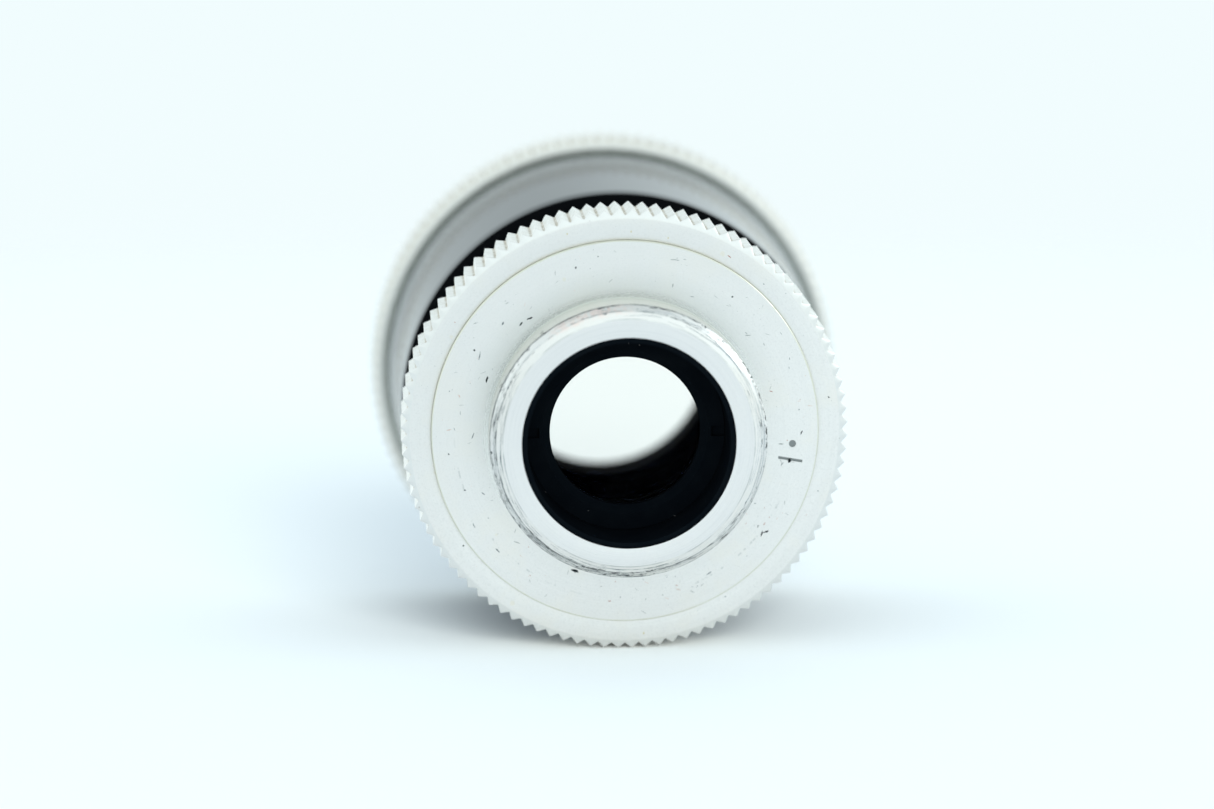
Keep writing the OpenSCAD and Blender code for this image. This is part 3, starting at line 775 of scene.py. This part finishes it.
Y0 = NOSE_Y0
nose_outline = rounded([
    (9.39, Y0, 0.05, 3), (11.04, Y0, 0.05, 3), (11.69, Y0 + 0.34, 0.04, 3), (12.25, Y0 + 0.86, 0.06, 3), (12.25, 0.0, 0.02, 2),
    (17.235, 0.0, 0.02, 3), (17.30, 0.065, 0.02, 2), (17.30, 0.95, 0.02, 2), (17.90, 0.95, 0.04, 3), (17.90, 2.70, 0.08, 3),
    (14.40, 2.70, 0.10, 3), (14.40, 6.10, 0.04, 3), (14.10, 6.40, 0.04, 3), (9.39, 6.40, 0.05, 3),
])
nose = lathe("nosepiece_turned", nose_outline, 720, "nose", M_NOSE)
# generic index mark on the shoulder: a radial stroke and a dot
a1, a2 = math.radians(10.0), math.radians(4.5)
cut(nose, [
    box_cutter((15.0 * math.cos(a1), 0.0, -15.0 * math.sin(a1)), (2.2, 0.22, 0.24), a1),
    turned_cutter([(0, -0.11), (0.32, -0.11), (0.32, 0.11), (0, 0.11)], 28, 15.0 * math.cos(a2), -15.0 * math.sin(a2)),
])
finish_mesh(nose, "nose", M_NOSE)
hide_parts("nosepiece")

M_SPECK = mat_speck("speck_dark", (0.030, 0.034, 0.036), (0.010, 0.011, 0.012))
M_FAINT = mat_speck("speck_faint", (0.34, 0.355, 0.35), (0.19, 0.20, 0.20))
M_FIBRE = mat_speck("fibre_red", (0.56, 0.27, 0.20), (0.40, 0.17, 0.13))
M_STAIN = mat_speck("speck_yellow", (0.72, 0.62, 0.33), (0.60, 0.50, 0.26))
M_ORANGE = mat_speck("speck_orange", (0.80, 0.40, 0.06), (0.55, 0.24, 0.04))
M_GREY = mat_speck("speck_grey", (0.50, 0.50, 0.47), (0.34, 0.34, 0.32))
M_PINK = mat_speck("speck_pink", (0.78, 0.62, 0.54), (0.68, 0.50, 0.42))
for kind, m_, sl in (("g", M_GREY, "matt_black"), ("p", M_PINK, "felt"), ("d", M_SPECK, "matt_black"), ("f", M_FAINT, "matt_black"), ("r", M_FIBRE, "felt"), ("y", M_STAIN, "bronze")):
    if any(k[0] == kind for k in MARKS_DISC):
        mark_solids("wear_nose_" + kind, MARKS_DISC, kind, 0.0, "nose", m_, ord(kind))
    mark_solids("wear_lock_" + kind, MARKS_RING, kind, LOCK_Y0, "lock", m_, ord(kind) + 1)

SCUFF_LINE = [(11.00, NOSE_Y0), (11.04, NOSE_Y0), (11.69, NOSE_Y0 + 0.34), (12.25, NOSE_Y0 + 0.86), (12.25, NOSE_Y0 + 1.5)]


def scuffs(name, seed, count, mat, where, across, length, width):
    """Thin dark rubs lying on the nose's chamfers. across is measured along SCUFF_LINE from its second point, mm."""
    g = np.random.default_rng(seed)
    seg = [math.dist(a, b) for a, b in zip(SCUFF_LINE, SCUFF_LINE[1:])]

    def at(u):
        u += seg[0]
        for i, d in enumerate(seg):
            if u <= d or i == len(seg) - 1:
                t = max(0.0, min(1.0, u / d))
                a, b = SCUFF_LINE[i], SCUFF_LINE[i + 1]
                return a[0] + (b[0] - a[0]) * t, a[1] + (b[1] - a[1]) * t, (b[1] - a[1]) / d, -(b[0] - a[0]) / d
            u -= d

    verts, faces = [], []
    for _ in range(count):
        while True:
            ang = g.uniform(0, 360)
            dens = max([h * math.exp(-((((ang - c + 180) % 360) - 180) / w) ** 2) for c, w, h in where])
            if g.uniform() < dens:
                break
        u0 = across[0] + g.normal() * across[1]
        ln = length * math.exp(g.normal() * 0.6)
        w = width * math.exp(g.normal() * 0.4)
        steps = max(2, min(24, int(ln / 0.12)))
        slope = g.normal() * 0.03
        k = len(verts)
        for i in range(steps + 1):
            t = i / steps
            a = math.radians(ang) + (t - 0.5) * ln / 11.9
            ww = w * (0.35 + 1.3 * min(t, 1 - t)) * (1 + 0.35 * g.normal())
            ww = min(max(ww, 0.008), 0.09)
            uc = u0 + slope * (t - 0.5) * ln
            for off, du in ((0.007, -ww), (0.007, ww), (-0.03, ww), (-0.03, -ww)):
                rr, yy, nr, ny = at(uc + du)
                rr, yy = rr + nr * off, max(yy + ny * off, NOSE_Y0 + 0.0004 if off > 0 else NOSE_Y0 - 1)
                verts.append((rr * math.sin(a), yy, rr * math.cos(a)))
        for i in range(steps):
            b0, b1 = k + 4 * i, k + 4 * (i + 1)
            faces += [(b0 + j, b1 + j, b1 + (j + 1) % 4, b0 + (j + 1) % 4) for j in range(4)]
        faces.append((k + 3, k + 2, k + 1, k))
        e = k + 4 * steps
        faces.append((e, e + 1, e + 2, e + 3))
    return make_object(name, verts, faces, "nose", mat, weighted=False)


M_RUB = mat_speck("scuff_dark", (0.075, 0.085, 0.088), (0.022, 0.026, 0.027))
M_RUB3 = mat_speck("scuff_pale", (0.56, 0.585, 0.585), (0.40, 0.42, 0.42))
M_RUB2 = mat_speck("scuff_grey", (0.30, 0.325, 0.325), (0.17, 0.185, 0.185))
LEFT_LOW = [(235, 34, 1.0), (200, 26, 0.9), (275, 24, 0.55), (165, 24, 0.5), (130, 22, 0.22), (95, 22, 0.10), (20, 22, 0.20), (330, 30, 0.08)]
scuffs("scuffs_foot", 5, 210, M_RUB, LEFT_LOW, (0.80, 0.07), 0.34, 0.018)
scuffs("scuffs_outer", 6, 170, M_RUB, LEFT_LOW, (1.28, 0.15), 0.30, 0.016)
scuffs("scuffs_long", 7, 70, M_RUB2, LEFT_LOW, (1.02, 0.24), 1.8, 0.015)
scuffs("scuffs_inner", 8, 46, M_RUB2, [(250, 60, 1.0), (60, 50, 0.6)], (0.36, 0.20), 1.8, 0.014)
scuffs("scuffs_top", 9, 120, M_RUB, [(14, 12, 1.0), (38, 14, 0.8), (60, 14, 1.0), (80, 12, 0.7), (352, 14, 0.35)], (1.43, 0.08), 0.24, 0.026)
scuffs("scuffs_right", 12, 52, M_RUB3, [(78, 36, 1.0), (20, 30, 0.35)], (0.80, 0.30), 2.4, 0.011)
scuffs("scuffs_rim", 11, 34, M_RUB, [(300, 26, 1.0), (335, 16, 0.7)], (1.475, 0.012), 2.2, 0.013)
scuffs("scuffs_edge", 10, 44, M_RUB2, [(0, 40, 0.5), (200, 40, 0.8), (300, 40, 0.8)], (1.50, 0.05), 1.1, 0.016)


def dust(name, seed, mat):
    """A few pale grains on the blackened walls of the bore and on the field stop's face."""
    g = np.random.default_rng(seed)
    verts, faces = [], []
    spots = [(9.375, 0, a, g.uniform(-4.4, 0.2)) for a in (118, 131, 149, 162, 171, 186, 203, 214, 226, 238, 251)]
    spots += [(g.uniform(7.2, 9.0), 1, a, 0.0) for a in (2, 9, 30, 355, 205, 233, 150)]
    for rad, flat, ang, yy in spots:
        a, q = math.radians(ang), g.uniform(0.022, 0.05)
        ur, ut = (math.sin(a), math.cos(a)), (math.cos(a), -math.sin(a))
        k, n = len(verts), 7
        for lift in ((-0.02, 0.012) if not flat else (0.02, -0.012)):
            for i in range(n):
                t = TAU * i / n
                ww = q * (1 + 0.3 * g.normal())
                if flat:
                    px, pz = ur[0] * rad + ut[0] * ww * math.cos(t) + ur[0] * ww * math.sin(t), ur[1] * rad + ut[1] * ww * math.cos(t) + ur[1] * ww * math.sin(t)
                    verts.append((px, STOP_FACE + lift, pz))
                else:
                    rr = rad - lift
                    verts.append((ur[0] * rr + ut[0] * ww * math.cos(t), yy + ww * math.sin(t), ur[1] * rr + ut[1] * ww * math.cos(t)))
        faces.append(tuple(range(k, k + n)))
        faces.append(tuple(range(k + 2 * n - 1, k + n - 1, -1)))
        faces += [(k + i, k + n + i, k + n + (i + 1) % n, k + (i + 1) % n) for i in range(n)]
    return make_object(name, verts, faces, "nose", mat, weighted=False)


STOP_FACE = 0.3
M_DUST = mat_speck("dust_grain", (0.23, 0.22, 0.20), (0.12, 0.115, 0.11))
dust("dust_in_bore", 4, M_DUST)

# ------------------------------------------------------------------ knurled rings


def knurled_ring(name, outline_in, r_face, r_tip, depth, teeth, y0, y1, body, mat, seed, cols=10):
    """Lathe whose columns follow a straight V knurl. outline_in is the hidden inner side, from the rear face's outer edge
    round through the bore to the front face's outer edge; the knurl and its two shallow chamfers close it."""
    g = np.random.default_rng(seed)
    k = 0.42
    b = 0.035
    # positions across one tooth, and the height there (0 valley, 1 ridge)
    u = np.array([0.0, 0.05, 0.16, 0.30, 0.44, 0.482, 0.518, 0.56, 0.70, 0.84, 0.95])
    h = np.array([0.0, 0.06, 0.30, 0.61, 0.90, 0.985, 0.985, 0.90, 0.61, 0.30, 0.06])
    h[5] = h[6] = 1.0
    m = len(u)
    tooth_h = 1 + g.normal(0, 0.018, teeth)          # ridge height varies a little from tooth to tooth
    tooth_s = g.normal(0, 0.010, teeth)              # and so does its place
    th = ((np.arange(teeth)[:, None] + u[None, :] + tooth_s[:, None] * np.sin(np.pi * u)[None, :]) * TAU / teeth).ravel()
    hh = np.minimum(h[None, :] * np.where(h[None, :] > 0.9, np.minimum(tooth_h[:, None], 1.0), 1.0), 1.0).ravel()
    n = len(th)
    r_out = r_tip - depth + depth * hh
    ys = np.linspace(0, 1, 13)
    inner = np.array(outline_in, float)
    rows = []
    # front chamfer, then the tooth from front to rear, then the rear chamfer
    rc = np.full(n, r_face)
    wob = g.normal(0, 1, (teeth, 13))
    rows.append((rc + 0.02, np.full(n, y0 + 0.004)))
    ya = y0 + k * (r_out - r_face)
    yb = y1 - k * (r_out - r_face)
    rows.append((r_out - b, ya - k * b))
    rows.append((r_out - b * 0.30, ya + b * 0.25))
    for j, s in enumerate(ys):
        yy = ya + b + (yb - ya - 2 * b) * s
        nick = np.repeat(wob[:, j], m) * 0.006 * (hh > 0.85)
        if 0 < j < 12:
            rows.append((np.minimum(r_out + np.minimum(nick, 0), r_tip), yy))
        else:
            rows.append((r_out, yy))
    rows.append((r_out - b * 0.30, yb - b * 0.25))
    rows.append((r_out - b, yb + k * b))
    rows.append((rc + 0.02, np.full(n, y1 - 0.004)))
    for r_, y_ in inner:
        rows.append((np.full(n, r_), np.full(n, y_)))
    R = np.stack([a for a, _ in rows], 1)
    Y = np.stack([c for _, c in rows], 1)
    T = th[:, None]
    v = np.stack([R * np.cos(T), Y, R * np.sin(T)], -1).reshape(-1, 3)
    M = R.shape[1]
    i = np.arange(n)[:, None]
    j = np.arange(M)[None, :]
    i2, j2 = (i + 1) % n, (j + 1) % M
    f = np.stack(np.broadcast_arrays(i * M + j, i * M + j2, i2 * M + j2, i2 * M + j), -1).reshape(-1, 4).tolist()
    return make_object(name, v, f, body, mat, angle=30)


lock_inner = rounded([
    (19.14, LOCK_Y1 - 0.001), (17.25, LOCK_Y1, 0.12, 3), (17.25, 3.15, 0.02, 2), (17.95, 3.15, 0.02, 2), (17.95, 0.90, 0.02, 2),
    (17.315, 0.90, 0.005, 2), (17.315, LOCK_Y0, 0.03, 3), (19.14, LOCK_Y0 + 0.001),
])
lock = knurled_ring("lock_ring_knurled", lock_inner, 19.16, LOCK_R - 0.004, 0.52, 100, LOCK_Y0, LOCK_Y1, "lock", M_LOCK, 3)
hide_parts("lock_ring")

grip_inner = rounded([
    (21.94, GRIP_Y1 - 0.001), (17.06, GRIP_Y1, 0.12, 3), (17.06, SLV_Y1 + 0.05, 0.03, 2), (19.63, SLV_Y1 + 0.05, 0.05, 2), (19.63, GRIP_Y0 + 0.02, 0.02, 2),
    (21.94, GRIP_Y0 + 0.001),
])
grip = knurled_ring("grip_ring_knurled", grip_inner, 21.96, GRIP_R - 0.004, 0.52, 110, GRIP_Y0, GRIP_Y1, "sleeve", M_GRIP, 5)
holes = []
for a in (90, 210, 330):
    a = math.radians(a)
    # the screws sit where +X turns to about +Y
    holes.append(turned_cutter([(0, 33.0), (0.86, 33.0), (0.86, GRIP_Y1 - 0.70), (1.50, GRIP_Y1 - 0.06), (1.50, GRIP_Y1 + 0.5), (0, GRIP_Y1 + 0.5)],
                               40, 18.45 * math.cos(a), -18.45 * math.sin(a)))
cut(grip, holes)
finish_mesh(grip, "sleeve", M_GRIP, angle=30)
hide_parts("grip_ring")

# ------------------------------------------------------------------ black focusing sleeve

sleeve_outline = rounded([
    (17.25, SLV_Y0, 0.10, 3), (19.79, SLV_Y0, 0.10, 4), (19.96, SLV_Y0 + 1.6, 0.5, 3), (21.00, 31.2, 0.05, 2), (19.60, 31.2, 0.04, 2), (19.60, SLV_Y1, 0.08, 3),
    (17.00, SLV_Y1, 0.08, 3), (17.00, 30.1, 0.06, 2), (13.90, 30.1, 0.10, 3), (13.90, 28.7, 0.10, 3), (17.25, 28.7, 0.08, 2),
    (17.25, SLV_Y0 + 2.1, 0.04, 2), (18.40, SLV_Y0 + 2.1, 0.06, 2), (18.40, SLV_Y0 + 0.5, 0.06, 2), (17.25, SLV_Y0 + 0.5, 0.04, 2),
])
sleeve = lathe("focus_sleeve_body", sleeve_outline, 540, "sleeve", M_ENAMEL)
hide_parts("focus_sleeve")

# ------------------------------------------------------------------ neck with its multi-start focusing thread

neck_pts = [(14.45, NECK_Y0, 0.06, 2), (17.0, NECK_Y0, 0.05, 2), (17.2, NECK_Y0 + 0.2, 0.04, 2), (17.2, 6.2, 0.04, 2), (16.8, 6.3, 0.05, 2), (16.8, 7.0, 0.05, 2)]
head = rounded(neck_pts + [(17.2, 7.4)])[:-1]
thread_rows = [(17.2, y) for y in np.arange(7.4, 16.6, 0.085)]
tail = rounded([(17.2, 16.6), (17.2, NECK_Y1 - 0.3, 0.05, 2), (16.9, NECK_Y1, 0.05, 2), (13.55, NECK_Y1, 0.08, 3), (13.55, 6.9, 0.05, 2), (14.45, 6.9, 0.05, 2), (14.45, NECK_Y0)])[:-1]
neck_outline = head + thread_rows + tail[1:]


def thread(r, y, t):
    """Eight starts, 10 mm lead, right-handed; runs in over the first millimetre and out at the far end."""
    phi = math.pi / 2 - t                              # turning angle about +Y
    ph = np.mod(8 * phi / TAU - y / 1.25, 1.0)
    tri = 1 - np.abs(ph - 0.5) * 2                     # 0 crest centre .. 1 root centre
    groove = np.clip((tri - 0.36) / 0.34, 0, 1)
    groove = groove * groove * (3 - 2 * groove)
    run = np.clip((y - 7.5) / 0.9, 0, 1) * np.clip((16.5 - y) / 0.6, 0, 1)
    on = (np.abs(r - 17.2) < 1e-6) & (y > 7.41) & (y < 16.59)
    return r - np.where(on, 0.42 * groove * run, 0.0), y


neck = lathe("neck_tube_threaded", neck_outline, 600, "neck", M_NECK, radial=thread, angle=40)
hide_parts("neck_tube")

# ------------------------------------------------------------------ eye cap

cap_outline = rounded([
    (14.6, CAP_Y0, 0.06, 2), (CAP_R, CAP_Y0, 0.10, 3), (CAP_R, CAP_Y1, 0.60, 8), (15.7, CAP_Y1, 0.10, 3), (15.3, CAP_Y1 - 0.25, 0.12, 3),
    (10.93, 37.63, 0.05, 2), (10.63, 37.55, 0.02, 2), (10.78, 37.25, 0.02, 2), (13.0, 34.6, 0.2, 3),
])
cap = lathe("eye_cap_turned", cap_outline, 480, "sleeve", M_CAP)
cut(cap, [box_cutter((s * 16.4, CAP_Y1, 0.0), (2.4, 1.6, 1.2)) for s in (-1, 1)])
finish_mesh(cap, "sleeve", M_CAP)
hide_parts("eye_cap")

# ------------------------------------------------------------------ stage: floor, light, camera

FLOOR_A = math.atan2(2.8, 30.77)
fn = Vector((0, math.sin(FLOOR_A), math.cos(FLOOR_A)))
foot = Vector((0, 0.0008, -0.02003))
size = 1.6
fl = bpy.data.meshes.new("floor")
ex, ey = Vector((1, 0, 0)), fn.cross(Vector((1, 0, 0)))
fl.from_pydata([tuple(foot + ex * sx * size + ey * sy * size) for sx, sy in ((-1, -1), (1, -1), (1, 1), (-1, 1))], [], [(0, 1, 2, 3)])
floor = bpy.data.objects.new("floor", fl)
scene.collection.objects.link(floor)

F = Net("floor_white")
tc = F.node("ShaderNodeTexCoord")
ln = F.node("ShaderNodeVectorMath", operation="DISTANCE")
F.link(tc.outputs["Object"], ln.inputs[0])
ln.inputs[1].default_value = (0, 0.02, -0.021)
fade = F.smooth(ln.outputs["Value"], 0.16, 0.75)
dif = F.principled(Base_Color=(0.765, 0.785, 0.780), Roughness=0.75)
dif.inputs["Specular IOR Level"].default_value = 0.25
trp = F.node("ShaderNodeBsdfTransparent")
mx = F.node("ShaderNodeMixShader")
F.put(mx.inputs[0], fade)
F.link(dif.outputs[0], mx.inputs[1])
F.link(trp.outputs[0], mx.inputs[2])
floor.data.materials.append(F.surface(mx.outputs[0]))

world = bpy.data.worlds.new("tent")
scene.world = world
world.use_nodes = True
wt = world.node_tree
wt.nodes.clear()
W = Net.__new__(Net)
W.t = wt
wout = wt.nodes.new("ShaderNodeOutputWorld")
gen = W.node("ShaderNodeTexCoord")
sep = W.node("ShaderNodeSeparateXYZ")
W.link(gen.outputs["Generated"], sep.inputs[0])
up = W.math("ADD", W.math("MULTIPLY", sep.outputs[1], math.sin(FLOOR_A)), W.math("MULTIPLY", sep.outputs[2], math.cos(FLOOR_A)))


def toward(x, y, z):
    """Cosine between the ray and a direction."""
    n = math.sqrt(x * x + y * y + z * z)
    return W.math("ADD", W.math("ADD", W.math("MULTIPLY", sep.outputs[0], x / n), W.math("MULTIPLY", sep.outputs[1], y / n)), W.math("MULTIPLY", sep.outputs[2], z / n))


lit = W.mix(W.smooth(up, 0.0, 0.35), (0.95, 1.08, 1.10), (1.0, 1.14, 1.17))
gain = W.math("MULTIPLY_ADD", W.smooth(toward(0.10, -0.80, 0.59), 0.50, 0.95), 0.18, 1.0)
gain = W.math("MULTIPLY", gain, W.math("MULTIPLY_ADD", W.smooth(up, 0.80, 0.97), -0.30, 1.0))
gain = W.math("MULTIPLY", gain, W.math("MULTIPLY_ADD", W.smooth(toward(0.80, 0.60, 0.10), 0.60, 0.98), 0.24, 1.0))
gain = W.math("MULTIPLY", gain, W.math("MULTIPLY_ADD", W.smooth(toward(-0.80, 0.60, 0.0), 0.70, 0.99), 0.20, 1.0))
gain = W.math("MULTIPLY", gain, W.math("MULTIPLY_ADD", W.smooth(toward(-0.25, 0.94, 0.22), 0.94, 0.995), -0.12, 1.0))
gain = W.math("MULTIPLY", gain, W.math("MULTIPLY_ADD", W.math("MULTIPLY", W.smooth(sep.outputs[1], 0.1, 0.7), W.smooth(up, 0.35, 0.7)), -0.35, 1.0))
scl = W.node("ShaderNodeVectorMath", operation="SCALE")
W.link(lit, scl.inputs[0])
W.put(scl.inputs["Scale"], gain)
lit = scl.outputs[0]
soft = W.node("ShaderNodeRGB")
soft.outputs[0].default_value = (0.822, 0.966, 1.068, 1)            # even fill on matt surfaces
seen = W.mix(W.smooth(up, -0.3, 0.6), (0.893, 0.985, 1.0), (0.850, 0.966, 0.976))
lp = W.node("ShaderNodeLightPath")
colw = W.mix(lp.outputs["Is Diffuse Ray"], W.mix(lp.outputs["Is Camera Ray"], lit, seen), soft.outputs[0])
bg = W.node("ShaderNodeBackground")
W.put(bg.inputs["Color"], colw)
bg.inputs["Strength"].default_value = 1.0
W.link(bg.outputs[0], wout.inputs["Surface"])
world.cycles.sampling_method = "NONE"


def area(name, pos, target, w, h, power, color=(1, 1, 1)):
    d = bpy.data.lights.new(name, "AREA")
    d.shape = "RECTANGLE"
    d.size, d.size_y, d.energy, d.color = w, h, power, color
    o = bpy.data.objects.new(name, d)
    o.location = pos
    o.rotation_mode = "QUATERNION"
    o.rotation_quaternion = (Vector(target) - Vector(pos)).to_track_quat("-Z", "Y")
    scene.collection.objects.link(o)
    return o


for softbox in (area("softbox_left", (-0.65, -0.14, 0.22), (0, 0.01, 0), 0.46, 0.46, 0.12, (0.92, 1.0, 1.02)),
                area("softbox_right", (0.62, -0.11, 0.37), (0, 0.01, 0), 0.26, 0.26, 0.72, (0.92, 1.0, 1.02))):
    softbox.visible_diffuse = False                                   # only mirrored in the metal
window = bpy.data.lights.new("window_front", "SUN")
window.angle = math.radians(30)
window.energy = 4.5
window.color = (0.966, 1.01, 0.987)
window_o = bpy.data.objects.new("window_front", window)
window_o.location = (0.02, -0.6, 0.45)
window_o.rotation_mode = "QUATERNION"
window_o.rotation_quaternion = Vector((-0.14, 0.91, -0.37)).to_track_quat("-Z", "Y")
window_o.visible_glossy = False
scene.collection.objects.link(window_o)
only_floor = bpy.data.collections.new("lit_by_window")                 # it shapes the shadow on the paper only
only_floor.objects.link(floor)
window_o.light_linking.receiver_collection = only_floor

cam_d = bpy.data.cameras.new("camera")
cam = bpy.data.objects.new("camera", cam_d)
scene.collection.objects.link(cam)
right = Vector((0.9980, -0.0631, 0.0)).normalized()
fwd = Vector((0.0620, 0.9795, -0.1915)).normalized()
upv = right.cross(fwd).normalized()
right = fwd.cross(upv).normalized()
cam.matrix_world = Matrix(((right.x, upv.x, -fwd.x, -0.02025), (right.y, upv.y, -fwd.y, -0.29365), (right.z, upv.z, -fwd.z, 0.0600), (0, 0, 0, 1)))
cam_d.lens = 100.0
cam_d.sensor_width = 36.0
cam_d.clip_start, cam_d.clip_end = 0.01, 20.0
cam_d.dof.use_dof = True
cam_d.dof.focus_distance = 0.2995
cam_d.dof.aperture_fstop = 9.6
scene.camera = cam
tripod = bpy.data.objects.new("tripod", None)
tripod.location = cam.matrix_world.translation
tripod.empty_display_size = 0.01
scene.collection.objects.link(tripod)
stop = cam_d.driver_add("dof.aperture_fstop")                          # stops down as the camera leaves its tripod
stop.driver.type = "SUM"
away = stop.driver.variables.new()
away.name, away.type = "away", "LOC_DIFF"
away.targets[0].id, away.targets[1].id = cam, tripod
for mod in list(stop.modifiers):
    stop.modifiers.remove(mod)
ramp = stop.modifiers.new("GENERATOR")
ramp.poly_order = 1
ramp.coefficients = (9.6, 4000.0)

scene.view_settings.view_transform = "Standard"
scene.view_settings.look = "None"
scene.view_settings.exposure = 0.0
scene.view_settings.gamma = 1.0
